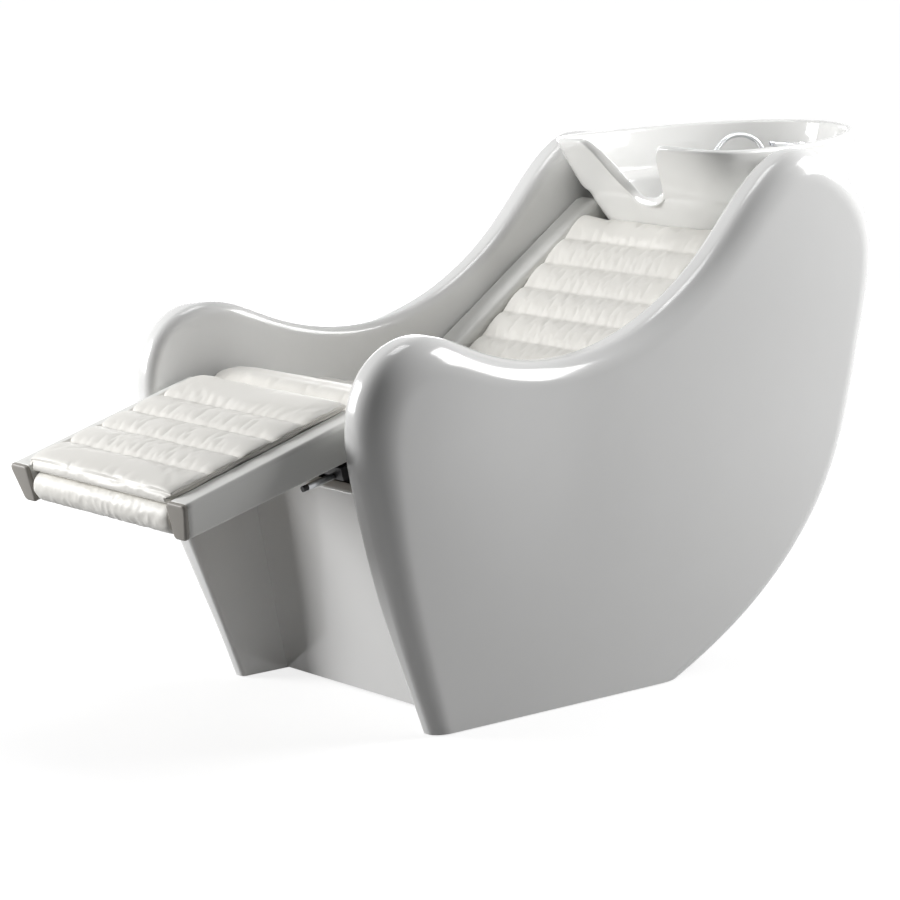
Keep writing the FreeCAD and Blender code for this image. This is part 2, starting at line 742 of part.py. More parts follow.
bowl = Part.makeLoft([egg(deck_z + 1.0, tub_half - 23.0, 10.0, tub_front + 60.0, tub_rear - 152.0),
                      egg(knee_z, tub_half - 47.0, 16.0, tub_front + 97.0, tub_rear - 182.0),
                      egg(bowl_floor_z, tub_half - 115.0, 20.0, tub_front + 138.0, tub_rear - 242.0)], True, True)
notch_points = [(-128.0, rim_z + 30.0), (-112.0, rim_z - 2.0), (-84.0, rim_z - 22.0), (-64.0, rim_z - 62.0),
                (-40.0, rim_z - 102.0), (0.0, rim_z - 116.0)]
notch_points += [(-x, z) for x, z in reversed(notch_points[:-1])]
notch_curve = Part.BSplineCurve()
notch_curve.interpolate([V(x, basin_y - 230.0, z) for x, z in notch_points])
notch_edge = notch_curve.toShape()
notch_lid = Part.makeLine(notch_edge.Vertexes[-1].Point, notch_edge.Vertexes[0].Point)
notch = Part.Face(Part.Wire([notch_edge, notch_lid])).extrude(V(0, 160.0, 0))
drain_hole = Part.makeCylinder(drain_radius, 70.0, V(0, drain_y, basin_foot_z - 22.0))
shank_hole = Part.makeCylinder(shank_radius, 60.0, V(mixer_x, deck_y, deck_z - 40.0))
ferrule_hole = Part.makeCylinder(ferrule_radius, 60.0, V(hose_x, deck_y, deck_z - 40.0))
keep("basin", body.cut(tub).cut(bowl).cut(notch).cut(drain_hole).cut(shank_hole).cut(ferrule_hole))

# Cradle under the basin
cradle_front = basin_y - 50.0
cradle_rear = basin_y + 70.0
cradle_bar = 28.0
cradle = [box(-inner_half, inner_half, cradle_front, cradle_front + cradle_bar, cradle_z, basin_foot_z),
          box(-side_tube, side_tube, cradle_rear - 24.0, cradle_rear, cradle_z, basin_foot_z)]
cradle += both(side_tube - cradle_bar, side_tube, cradle_front, cradle_rear, cradle_z, basin_foot_z)
keep("basin_cradle", fuse(cradle))

# Shroud that closes the space under the basin's overhang
shroud_wall = 4.0
shroud_top = under_deck - pad_gap
shroud_low = rear_top + 4.0
shroud_mid = (shroud_top + shroud_low) / 2


def shroud_plan(z, half, rear, inset):
    """Plan of the shroud at one height, moved inwards by an inset."""
    return egg(z, half - inset, 25.0, basin_front + 88.0 + inset, rear - inset)


def shroud_body(inset, spare):
    """The shroud's space, moved inwards by an inset and longer at both ends by a spare length."""
    plans = [shroud_plan(shroud_top + spare, basin_half - 11.0, basin_rear - 24.0, inset),
             shroud_plan(shroud_mid, basin_half - 12.0, basin_rear - 62.0, inset),
             shroud_plan(shroud_low - spare, basin_half - 18.0, basin_rear - 148.0, inset)]
    return Part.makeLoft(plans, True, True)


shroud = shroud_body(0.0, 0.0).cut(shroud_body(shroud_wall, 1.0))
shroud = shroud.common(box(-2 * basin_half, 2 * basin_half, basin_y + 50.0, basin_y + 2 * basin_rear,
                           shroud_low - 20.0, rim_z))
keep("basin_shroud", shroud)

# Waste: flange in the bowl, bottle trap, pipe to the rear
trap_top = cradle_z
flange = Part.makeCone(30.0, 32.0, 3.0, V(0, drain_y, bowl_floor_z))
flange = flange.fuse(Part.makeCylinder(drain_radius, bowl_floor_z - trap_top, V(0, drain_y, trap_top)))
flange = flange.cut(Part.makeCylinder(drain_radius - 3.0, 90.0, V(0, drain_y, trap_top - 10.0)))
cross = [box(-drain_radius + 2.0, drain_radius - 2.0, drain_y - 2.0, drain_y + 2.0, bowl_floor_z - 6.0, bowl_floor_z),
         box(-2.0, 2.0, drain_y - drain_radius + 2.0, drain_y + drain_radius - 2.0, bowl_floor_z - 6.0, bowl_floor_z)]
keep("drain_flange", fuse([flange] + cross))
trap_low = trap_top - 100.0
trap_radius = 36.0
pipe_top = trap_top - 50.0
trap = Part.makeCylinder(trap_radius, trap_top - trap_low, V(0, drain_y, trap_low))
keep("drain_trap", trap)
pipe_radius = 17.0
stub_radius = 20.0
stub_length = 50.0
pipe_z = 90.0
pipe_rear = 320.0
elbow = V(0, drain_y - 80.0, pipe_top)
drop = V(0, 230.0, pipe_z)
pipe = [round_bar(V(0, drain_y - trap_radius, pipe_top), elbow, pipe_radius), Part.makeSphere(pipe_radius, elbow),
        round_bar(elbow, drop, pipe_radius), Part.makeSphere(pipe_radius, drop),
        round_bar(drop, V(0, pipe_rear, pipe_z), pipe_radius),
        round_bar(V(0, pipe_rear - stub_length, pipe_z), V(0, pipe_rear, pipe_z), stub_radius)]
keep("waste_pipe", fuse(pipe))

# Mixer on the recessed deck
mixer_body = fuse([Part.makeCylinder(mixer_radius, mixer_height, V(mixer_x, deck_y, deck_z)),
                   Part.makeCylinder(shank_radius, shank_length, V(mixer_x, deck_y, deck_z - shank_length))])
keep("mixer_body", mixer_body)
cap_z = deck_z + mixer_height + pad_gap
mixer_cap = Part.makeCylinder(mixer_radius, 12.0, V(mixer_x, deck_y, cap_z))
ears = [box(mixer_x - 8.0, mixer_x + 8.0, deck_y - 12.0, deck_y - 7.0, cap_z + 12.0, cap_z + 26.0),
        box(mixer_x - 8.0, mixer_x + 8.0, deck_y + 7.0, deck_y + 12.0, cap_z + 12.0, cap_z + 26.0)]
lever_z = cap_z + 19.0
lever_pin = Part.makeCylinder(3.0, 24.0, V(mixer_x, deck_y - 12.0, lever_z), V(0, 1, 0))
keep("mixer_cap", fuse([mixer_cap] + ears + [lever_pin]))
lever = box(mixer_x - 76.0, mixer_x + 5.0, deck_y - 6.5, deck_y + 6.5, lever_z - 5.0, lever_z + 5.0)
lever = lever.makeFillet(2.0, lever.Edges)
lever = lever.cut(Part.makeCylinder(3.0 + pin_fit, 30.0, V(mixer_x, deck_y - 15.0, lever_z), V(0, 1, 0)))
keep("mixer_lever", lever)

# Hose arch and hand shower
ferrule_top = deck_z + 11.0
ferrule = fuse([Part.makeCylinder(14.0, 4.0, V(hose_x, deck_y, deck_z)),
                Part.makeCylinder(9.0, 11.0, V(hose_x, deck_y, deck_z)),
                Part.makeCylinder(ferrule_radius, 50.0, V(hose_x, deck_y, deck_z - 50.0))])
keep("hose_ferrule", ferrule)
heading = V(-0.5, -math.sqrt(0.75), 0)


def hose_route():
    """Corner points of the hose, which rises from its ferrule and bends over into the bowl."""
    stops = [V(hose_x, deck_y, ferrule_top)]
    for i in range(5):
        climb = math.radians(90.0 - hose_turn * i)
        reach = hose_run * math.cos(climb)
        stops.append(stops[-1].add(V(heading.x * reach, heading.y * reach, hose_run * math.sin(climb))))
    return stops


def bent_path(stops, bend):
    """Straight runs joined by tangent arcs of one radius."""
    edges = []
    start = stops[0]
    for i in range(1, len(stops) - 1):
        into = stops[i].sub(stops[i - 1]).normalize()
        out = stops[i + 1].sub(stops[i]).normalize()
        half_turn = into.getAngle(out) / 2
        reach = bend * math.tan(half_turn)
        first = stops[i].sub(V(into).multiply(reach))
        last = stops[i].add(V(out).multiply(reach))
        inward = V(out).sub(into).normalize()
        middle = stops[i].add(inward.multiply(bend / math.cos(half_turn) - bend))
        edges += [Part.makeLine(start, first), Part.Arc(first, middle, last).toShape()]
        start = last
    return Part.Wire(edges + [Part.makeLine(start, stops[-1])])


hose_stops = hose_route()
hose_path = bent_path(hose_stops, hose_bend)
hose_ring = Part.Wire([Part.makeCircle(hose_radius, hose_stops[0], V(0, 0, 1))])
hose = hose_path.makePipeShell([hose_ring], True, True)
keep("shower_hose", hose)
hose_volume = math.pi * hose_radius ** 2 * hose_path.Length
print("hose bend %.1f mm, length %.1f mm, volume %.4f of section times length"
      % (hose_bend, hose_path.Length, hose.Volume / hose_volume))
down = hose_stops[-1].sub(hose_stops[-2]).normalize()
grip = hose_stops[-1]
grip_end = grip.add(V(down).multiply(62.0))
head_end = grip.add(V(down).multiply(96.0))
handle = Part.makeCone(8.0, 12.0, 62.0, grip, down)
head = Part.makeCone(12.0, 24.0, 34.0, grip_end, down)
keep("hand_shower", handle.fuse(head))

# Supply hoses from the mixer to the inlet tails at the rear of the floor frame
supply_x = 90.0
inlet_z = 95.0
inlet_radius = 8.3


def supply(x_top, x_low):
    """Flexible supply hose held along its whole route."""
    stops = [V(x_top, deck_y, deck_z - shank_length), V(x_top, deck_y, deck_z - shank_length - 20.0),
             V(x_low, deck_y - 42.0, rear_top + 37.0), V(x_low, rear_most - 50.0, rear_top + 10.0),
             V(x_low, 300.0, inlet_z), V(x_low, 330.0, inlet_z)]
    pieces = []
    for i in range(len(stops) - 1):
        pieces.append(round_bar(stops[i], stops[i + 1], 6.0))
        pieces.append(Part.makeSphere(6.0, stops[i + 1]))
    pieces.append(round_bar(V(x_low, 330.0, inlet_z), V(x_low, 362.0, inlet_z), inlet_radius))
    return fuse(pieces)


keep("cold_hose", supply(mixer_x + 7.0, supply_x))
keep("hot_hose", supply(mixer_x - 7.0, -supply_x))

# Control box, mains inlet and the two-button switch on the outside of the right side
keep("control_box", box(-90.0, 90.0, -100.0, 20.0, plate, plate + 55.0))

inlet_block = box(-190.0, -150.0, base_rear, base_rear + 18.0, 12.0, 40.0)
keep("mains_inlet", inlet_block.cut(box(-184.0, -156.0, base_rear + 6.0, base_rear + 18.0, 17.0, 35.0)))
switch_y = -330.0
switch_z = 560.0
switch_plate = 4.0
button_radius = 9.0
button_travel = 1.5
button_pitch = 30.0
switch_turn = math.degrees(math.atan(outer_lean))


def on_side(shape):
    """From a flat position, with Z outwards, to the right side's outer face."""
    out = shape.copy()
    out.rotate(V(0, 0, 0), V(0, 1, 0), -90.0 - switch_turn)
    out.translate(V(-inner_half - foot_thickness - outer_lean * switch_z, switch_y, switch_z))
    return out


face_plate = box(-18.0, 18.0, -32.0, 32.0, 0, switch_plate)
face_plate = face_plate.makeFillet(8.0, [e for e in face_plate.Edges if abs(e.CenterOfMass.z - switch_plate / 2) < 0.1])
for y in (-button_pitch / 2, button_pitch / 2):
    face_plate = face_plate.cut(Part.makeCylinder(button_radius + pad_gap, switch_plate, V(0, y, 0)))
keep("switch_plate", on_side(face_plate))
for name, y in (("raise_button", -button_pitch / 2), ("lower_button", button_pitch / 2)):
    button = Part.makeCylinder(button_radius, 4.6, V(0, y, button_travel + 0.4))
    keep(name, on_side(button))

os.makedirs("parts", exist_ok=True)
for name, shape in NODES.items():
    shape.exportStep("parts/%s.step" % name)
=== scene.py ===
"""Looks of a salon backwash unit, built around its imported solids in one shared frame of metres.

X runs across the unit, -Y is the client's front and Z is up. Each sub-assembly is a class that keeps
its sizes, builds its meshes and dresses them with a finish named for the real material.
"""
import json
import logging
import math
from dataclasses import dataclass
from enum import Enum
from typing import Any, Callable, Optional, Sequence

import bmesh
import bpy
import numpy as np
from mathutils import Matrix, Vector, noise


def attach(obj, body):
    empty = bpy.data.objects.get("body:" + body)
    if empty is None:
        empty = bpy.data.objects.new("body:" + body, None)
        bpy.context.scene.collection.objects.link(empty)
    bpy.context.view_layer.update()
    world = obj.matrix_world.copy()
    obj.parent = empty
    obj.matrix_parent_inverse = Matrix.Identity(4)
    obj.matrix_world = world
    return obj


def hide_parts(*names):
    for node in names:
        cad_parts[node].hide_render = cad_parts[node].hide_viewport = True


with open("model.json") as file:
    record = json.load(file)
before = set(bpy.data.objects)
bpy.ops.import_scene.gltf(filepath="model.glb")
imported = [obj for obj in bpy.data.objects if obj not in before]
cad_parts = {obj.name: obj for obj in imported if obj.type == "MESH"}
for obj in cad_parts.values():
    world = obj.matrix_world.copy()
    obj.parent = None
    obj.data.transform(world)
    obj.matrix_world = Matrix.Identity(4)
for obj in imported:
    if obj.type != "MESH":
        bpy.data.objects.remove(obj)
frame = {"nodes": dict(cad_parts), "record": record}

logging.basicConfig(level=logging.INFO, format="%(message)s")
LOG = logging.getLogger("backwash")

Point = tuple[float, float, float]
Pair = tuple[float, float]
Row = tuple[float, ...]
Sewn = tuple[float, float, bool]
Thing = bpy.types.Object
Tree = bpy.types.NodeTree
Node = bpy.types.Node
Socket = bpy.types.NodeSocket

MM = 0.001
QUARTER = math.pi / 2
# Points nearer than this are one, and a curve's direction is taken over this much of it.
MERGE = 1e-6
PROBE = 1e-4


class Side(Enum):
    """A side of the unit, as the sign of its X."""

    LEFT = 1
    RIGHT = -1

    def word(self) -> str:
        """Give the side's word in the names of pieces."""
        return self.name.lower()


# Materials

WHITE = (1.0, 1.0, 1.0, 1.0)
# A colour mix has its two colours and its result at these numbers among its sockets.
MIX_FIRST, MIX_SECOND, MIX_RESULT = 6, 7, 2
# How the fine patterns are drawn: blending of pebbles, octaves of noise, and the noise that is in use.
PEBBLE_BLEND = 0.6
LINE_DETAIL = 4.0
RIPPLE_DETAIL = 1.0
CLOUD_DETAIL = 2.0
CLOUD_RANGE = (0.3, 0.7)
COAT_ROUGHNESS = 0.04


def linear(code: str) -> tuple[float, float, float, float]:
    """Turn an sRGB hex colour into the linear values that a shader takes.

    Args:
        code: Six hex digits after a number sign.

    Returns:
        Red, green, blue and an alpha of one.
    """
    parts = [int(code[i:i + 2], 16) / 255 for i in (1, 3, 5)]
    red, green, blue = [p / 12.92 if p <= 0.04045 else ((p + 0.055) / 1.055) ** 2.4 for p in parts]
    return red, green, blue, 1.0


def add_node(tree: Tree, kind: str, inputs: Optional[dict] = None, **settings: Any) -> Node:
    """Add a node with its settings and links.

    Args:
        tree: The node tree that gets the node.
        kind: The node's type name.
        inputs: For each input, a socket to link from or a plain value.
        settings: The node's own properties.

    Returns:
        The new node.
    """
    node = tree.nodes.new(kind)
    for name, value in settings.items():
        setattr(node, name, value)
    for name, value in (inputs or {}).items():
        if isinstance(value, Socket):
            tree.links.new(value, node.inputs[name])
        else:
            node.inputs[name].default_value = value
    return node


class Surface(Enum):
    """How a surface was made, which sets the fine pattern that it shows."""

    SPRAYED = "sprayed into a polished mould"
    EMBOSSED = "embossed with a pebble grain"
    GLAZED = "glazed and fired"
    PLATED = "polished and plated"
    POWDERED = "powder coated"
    DRAWN = "cold drawn"
    VENEERED = "peeled and glued"
    MOULDED = "injection moulded"
    BRAIDED = "braided from wire"


# Lines of drawn steel run along X, those of veneer along Y.
LINE_STRETCH = {Surface.DRAWN: (0.04, 1.0, 1.0), Surface.VENEERED: (1.0, 0.06, 1.0)}


@dataclass(frozen=True)
class Finish:
    """One real material: what it is, how it was made and what that gives the eye."""

    name: str
    slot: str
    colour: str
    tone: str
    surface: Surface
    roughness: float
    wander: float
    grain_mm: float
    depth_mm: float
    cloud_mm: float = 120.0
    metallic: float = 0.0
    ior: float = 1.5
    coat: float = 0.0
    sheen: float = 0.0

    def grain(self, tree: Tree, place: Socket) -> Socket:
        """Add the fine pattern of the surface.

        Args:
            tree: The material's node tree.
            place: Object coordinates in metres.

        Returns:
            The pattern's height, from nought to one.
        """
        spread = {"Vector": place, "Scale": 1.0 / (self.grain_mm * MM)}
        if self.surface is Surface.EMBOSSED:
            cells = add_node(tree, "ShaderNodeTexVoronoi", spread | {"Smoothness": PEBBLE_BLEND},
                             feature="SMOOTH_F1")
            return cells.outputs["Distance"]
        if self.surface is Surface.BRAIDED:
            return add_node(tree, "ShaderNodeTexChecker", spread).outputs["Fac"]
        detail = RIPPLE_DETAIL
        if self.surface in LINE_STRETCH:
            along = add_node(tree, "ShaderNodeMapping", {"Vector": place,
                                                         "Scale": LINE_STRETCH[self.surface]})
            spread["Vector"] = along.outputs["Vector"]
            detail = LINE_DETAIL
        return add_node(tree, "ShaderNodeTexNoise", spread | {"Detail": detail}).outputs["Fac"]

    def material(self) -> bpy.types.Material:
        """Give the finish's material, made at its first use.

        Returns:
            The material.
        """
        known = bpy.data.materials.get(self.name)
        if known:
            return known
        made = bpy.data.materials.new(self.name)
        made.use_nodes = True
        tree = made.node_tree
        shader = tree.nodes["Principled BSDF"]
        place = add_node(tree, "ShaderNodeTexCoord").outputs["Object"]
        cloud = add_node(tree, "ShaderNodeTexNoise", {"Vector": place, "Scale": 1.0 / (self.cloud_mm * MM),
                                                      "Detail": CLOUD_DETAIL}).outputs["Fac"]
        tint = add_node(tree, "ShaderNodeMix", {"Factor": cloud, MIX_FIRST: linear(self.colour),
                                                MIX_SECOND: linear(self.tone)}, data_type="RGBA")
        low, high = CLOUD_RANGE
        gloss = add_node(tree, "ShaderNodeMapRange", {"Value": cloud, "From Min": low, "From Max": high,
                                                      "To Min": self.roughness - self.wander,
                                                      "To Max": self.roughness + self.wander})
        relief = add_node(tree, "ShaderNodeBump", {"Height": self.grain(tree, place), "Strength": 1.0,
                                                   "Distance": self.depth_mm * MM})
        tree.links.new(tint.outputs[MIX_RESULT], shader.inputs["Base Color"])
        tree.links.new(gloss.outputs["Result"], shader.inputs["Roughness"])
        tree.links.new(relief.outputs["Normal"], shader.inputs["Normal"])
        shader.inputs["Metallic"].default_value = self.metallic
        shader.inputs["Sheen Weight"].default_value = self.sheen
        if not self.metallic:
            shader.inputs["IOR"].default_value = self.ior
            shader.inputs["Coat Weight"].default_value = self.coat
            shader.inputs["Coat Roughness"].default_value = COAT_ROUGHNESS
        return made


# Polyester gel coat on glass fibre, sprayed into a polished mould: deep gloss over a faint orange peel.
GELCOAT = Finish("gelcoat_polyester_white", "gelcoat_white", "#F1F1F0", "#EEEEED", Surface.SPRAYED,
                 roughness=0.17, wander=0.03, grain_mm=9.0, depth_mm=0.006, coat=0.25)
# Foam-backed vinyl with a pebble grain, drawn coarse enough to show: soft satin, warm off-white.
VINYL_CHANNELLED = Finish("vinyl_foam_backed_warm_white", "vinyl_channelled", "#EFEDE8", "#EAE8E2",
                          Surface.EMBOSSED, roughness=0.42, wander=0.05, grain_mm=1.8, depth_mm=0.10,
                          sheen=0.06)
# The same vinyl in plain white on the strips and rails, where it is stretched and so smoother.
VINYL_PLAIN = Finish("vinyl_stretched_white", "vinyl_plain", "#EFEFEC", "#EAEAE7", Surface.EMBOSSED,
                     roughness=0.40, wander=0.05, grain_mm=1.8, depth_mm=0.06, sheen=0.04)
# Vitreous china under a clear fired glaze: hard white gloss with a slow wave.
CERAMIC = Finish("vitreous_china_glazed", "ceramic_white", "#F6F6F4", "#F3F3F1", Surface.GLAZED,
                 roughness=0.08, wander=0.02, grain_mm=34.0, depth_mm=0.05, coat=0.5)
# Chromium on polished brass: mirror bright, slightly cool.
CHROME = Finish("chromium_plated_brass", "chrome", "#D9DADC", "#D2D3D6", Surface.PLATED,
                roughness=0.08, wander=0.02, grain_mm=14.0, depth_mm=0.006, metallic=1.0)
# Mild steel tube under black powder coat: fine orange peel, low gloss.
BLACK_STEEL = Finish("powder_coated_steel_black", "steel_black", "#1B1B1D", "#222224", Surface.POWDERED,
                     roughness=0.45, wander=0.06, grain_mm=1.6, depth_mm=0.05)
# Zinc plated cold-drawn steel: grey with fine lines along the bar.
BRIGHT_STEEL = Finish("zinc_plated_drawn_steel", "steel_bright", "#B9BBBD", "#AEB0B3", Surface.DRAWN,
                      roughness=0.30, wander=0.06, grain_mm=0.8, depth_mm=0.02, metallic=1.0)
# Birch plywood: pale brown with long grain lines.
PLYWOOD = Finish("birch_plywood", "plywood", "#C9A878", "#B48F5F", Surface.VENEERED,
                 roughness=0.60, wander=0.08, grain_mm=4.0, depth_mm=0.08, cloud_mm=40.0)
# Polypropylene, moulded: satin white.
WHITE_PLASTIC = Finish("polypropylene_moulded_white", "plastic_white", "#E9E9E8", "#E3E3E2", Surface.MOULDED,
                       roughness=0.35, wander=0.04, grain_mm=1.5, depth_mm=0.02)
# ABS, moulded with a fine texture: mid grey.
GREY_PLASTIC = Finish("abs_moulded_grey", "plastic_grey", "#9A9690", "#918D87", Surface.MOULDED,
                      roughness=0.45, wander=0.05, grain_mm=1.2, depth_mm=0.03)
# Polyethylene tube ends: black, dull.
BLACK_PLASTIC = Finish("polyethylene_moulded_black", "plastic_black", "#17171A", "#1E1E20", Surface.MOULDED,
                       roughness=0.50, wander=0.06, grain_mm=1.2, depth_mm=0.03)
# Stainless wire braid on a rubber hose: a bright chequer of fine wires, drawn coarse enough to show.
BRAID = Finish("stainless_wire_braid", "braided_steel", "#AEB0B2", "#8E9093", Surface.BRAIDED,
               roughness=0.35, wander=0.06, grain_mm=2.0, depth_mm=0.2, metallic=1.0)

FINISHES = {finish.slot: finish for finish in (
    GELCOAT, VINYL_CHANNELLED, VINYL_PLAIN, CERAMIC, CHROME, BLACK_STEEL, BRIGHT_STEEL, PLYWOOD,
    WHITE_PLASTIC, GREY_PLASTIC, BLACK_PLASTIC, BRAID)}


# Shapes


class Spline:
    """Natural cubic spline through rows of numbers."""

    def __init__(self, rows: Sequence[Sequence[float]], knots: Optional[Sequence[float]] = None) -> None:
        """Fit the spline.

        Args:
            rows: The numbers at each knot.
            knots: The knots' places, or nothing for chord lengths.
        """
        self.rows = np.array(rows, dtype=float)
        if knots is None:
            chords = np.linalg.norm(np.diff(self.rows, axis=0), axis=1)
            knots = np.concatenate([[0.0], np.cumsum(chords)])
        self.knots = np.array(knots, dtype=float)
        gaps = np.diff(self.knots)
        slopes = np.diff(self.rows, axis=0) / gaps[:, None]
        count = len(self.knots)
        matrix = np.eye(count)
        right = np.zeros_like(self.rows)
        for i in range(1, count - 1):
            matrix[i, i - 1:i + 2] = gaps[i - 1], 2 * (gaps[i - 1] + gaps[i]), gaps[i]
            right[i] = 6 * (slopes[i] - slopes[i - 1])
        self.bends = np.linalg.solve(matrix, right)

    def at(self, where: float) -> np.ndarray:
        """Give the spline's numbers at one place.

        Args:
            where: The place, in the knots' measure.

        Returns:
            The numbers.
        """
        i = int(np.clip(np.searchsorted(self.knots, where) - 1, 0, len(self.knots) - 2))
        gap = self.knots[i + 1] - self.knots[i]
        after, before = (where - self.knots[i]) / gap, (self.knots[i + 1] - where) / gap
        bend = (before ** 3 - before) * self.bends[i] + (after ** 3 - after) * self.bends[i + 1]
        return before * self.rows[i] + after * self.rows[i + 1] + bend * gap ** 2 / 6


def smooth_step(value: float) -> float:
    """Ease from nought to one."""
    held = min(max(value, 0.0), 1.0)
    return held * held * (3 - 2 * held)


def ramp(value: float, start: float, run: float) -> float:
    """Ease from nought at a start to one at the end of a run, which may be negative."""
    return smooth_step((value - start) / run)


def even(first: float, last: float, count: int) -> tuple[float, ...]:
    """Give evenly spaced numbers from first to last."""
    return tuple(float(v) for v in np.linspace(first, last, count))


def add_object(name: str, data: bpy.types.ID) -> Thing:
    """Put data in the scene as an object at the origin.

    Args:
        name: The object's name.
        data: Its mesh, curve, lamp or camera.

    Returns:
        The object.
    """
    thing = bpy.data.objects.new(name, data)
    bpy.context.scene.collection.objects.link(thing)
    return thing


def shade_smooth(mesh: bpy.types.Mesh, crease: Optional[float] = None) -> None:
    """Shade a mesh smooth.

    Args:
        mesh: The mesh.
        crease: Edges that turn by more degrees than this stay sharp, where it is given.
    """
    mesh.polygons.foreach_set("use_smooth", [True] * len(mesh.polygons))
    if crease is not None:
        mesh.set_sharp_from_angle(angle=math.radians(crease))


def mesh_piece(name: str, points: Sequence[Sequence[float]], faces: Sequence[Sequence[int]],
               crease: float = 40.0) -> Thing:
    """Make a closed piece from points and faces.

    Args:
        name: The piece's name.
        points: Places in metres.
        faces: Rows of point numbers.
        crease: Edges that turn by more degrees than this stay sharp.

    Returns:
        The piece, at the origin, with its normals outwards.
    """
    mesh = bpy.data.meshes.new(name)
    mesh.from_pydata([tuple(p) for p in points], [], faces)
    work = bmesh.new()
    work.from_mesh(mesh)
    bmesh.ops.remove_doubles(work, verts=work.verts, dist=MERGE)
    bmesh.ops.recalc_face_normals(work, faces=work.faces)
    work.to_mesh(mesh)
    work.free()
    shade_smooth(mesh, crease)
    return add_object(name, mesh)


def loft(name: str, rings: Sequence[Sequence[Sequence[float]]], closed: bool = False,
         crease: float = 40.0) -> Thing:
    """Skin a row of closed rings.

    Args:
        name: The piece's name.
        rings: Rings with the same number of points each.
        closed: Whether the last ring joins the first; otherwise both ends are capped.
        crease: Edges that turn by more degrees than this stay sharp.

    Returns:
        The skinned piece.
    """
    size = len(rings[0])
    points = [p for ring in rings for p in ring]
    faces = []
    for row in range(len(rings) if closed else len(rings) - 1):
        after = (row + 1) % len(rings)
        for i in range(size):
            j = (i + 1) % size
            faces.append((row * size + i, row * size + j, after * size + j, after * size + i))
    if not closed:
        faces.append(tuple(range(size)))
        faces.append(tuple(range(len(points) - size, len(points))))
    return mesh_piece(name, points, faces, crease)


def rounded_ring(corners: Sequence[Pair], radii: Sequence[float], steps: int = 6) -> list[Pair]:
    """Round the corners of a flat closed shape.

    Args:
        corners: The shape's corners in order.
        radii: The rounding of each corner.
        steps: Segments in each rounding.

    Returns:
        The points of the rounded shape.
    """
    ring: list[Pair] = []
    for i, radius in enumerate(radii):
        here = Vector(corners[i])
        back = (Vector(corners[i - 1]) - here).normalized()
        ahead = (Vector(corners[(i + 1) % len(corners)]) - here).normalized()
        half = back.angle(ahead) / 2
        middle = here + (back + ahead).normalized() * (radius / math.sin(half))
        first = here + back * (radius / math.tan(half)) - middle
        last = here + ahead * (radius / math.tan(half)) - middle
        start = math.atan2(first.y, first.x)
        sweep = math.remainder(math.atan2(last.y, last.x) - start, 2 * math.pi)
        for k in range(steps + 1):
            angle = start + sweep * k / steps
            ring.append((middle.x + radius * math.cos(angle), middle.y + radius * math.sin(angle)))
    return ring


def lathe(name: str, profile: Sequence[Pair], foot: Vector, axis: Vector, segments: int = 40) -> Thing:
    """Turn a profile about an axis.

    Args:
        name: The piece's name.
        profile: Distances along the axis and radii.
        foot: The axis's start.
        axis: Its direction.
        segments: Faces round the axis.

    Returns:
        The turned piece, with its ends closed.
    """
    turn = Vector((0, 0, 1)).rotation_difference(axis.normalized())
    rings = []
    for along, radius in profile:
        ring = []
        for i in range(segments):
            angle = 2 * math.pi * i / segments
            spot = Vector((radius * math.cos(angle), radius * math.sin(angle), along))
            ring.append(tuple(foot + turn @ spot))
        rings.append(ring)
    return loft(name, rings, crease=50.0)


@dataclass(frozen=True)
class Place:
    """A turned plane of the unit: the flat position of the seat, the back or the leg rest."""

    tilt: float
    along: float
    height: float

    def point(self, x: float, y: float, z: float) -> Point:
        """Move a point of the flat position to its place.

        Args:
            x: Its place across.
            y: Its place along the plane.
            z: Its height over the plane.

        Returns:
            The point in the unit's frame.
        """
        turn = math.radians(self.tilt)
        return (x, self.along + y * math.cos(turn) - z * math.sin(turn),
                self.height + y * math.sin(turn) + z * math.cos(turn))


# The leg rest's hinge carries the seat's plane, whose rear end carries the back's. The back's rolls are
# spaced from its start, and its pads reach down to its foot, where they meet the seat's.
HINGE = (-0.347, 0.537)
SEAT_LENGTH = 0.455
SEAT_VALLEY = 0.024
BACK_LENGTH = 0.484
BACK_START = 0.020
BACK_FOOT = -0.004
BACK_ROLLS = 7
SEAT = Place(-10.0, *HINGE)
LEG = Place(16.3, *HINGE)
BACK = Place(38.5, *SEAT.point(0.0, SEAT_LENGTH, SEAT_VALLEY)[1:])
BACK_TOP = BACK.point(0.0, BACK_LENGTH, 0.0)


def dress(piece: Thing, finish: Finish, body: str, nodes: Sequence[str] = ()) -> Thing:
    """Give a piece its finish, its body and the solids that it stands for.

    Args:
        piece: The piece.
        finish: Its finish.
        body: The body that it moves with.
        nodes: Solids that it replaces.

    Returns:
        The same piece.
    """
    piece.data.materials.clear()
    piece.data.materials.append(finish.material())
    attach(piece, body)
    if nodes:
        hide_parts(*nodes)
    LOG.info("%s: %s", piece.name, finish.name)
    return piece


# How a cover resists stretch and bending, and for how long it is filled.
CLOTH_STRETCH = 12.0
CLOTH_BENDING = 0.3
CLOTH_FRAMES = 20


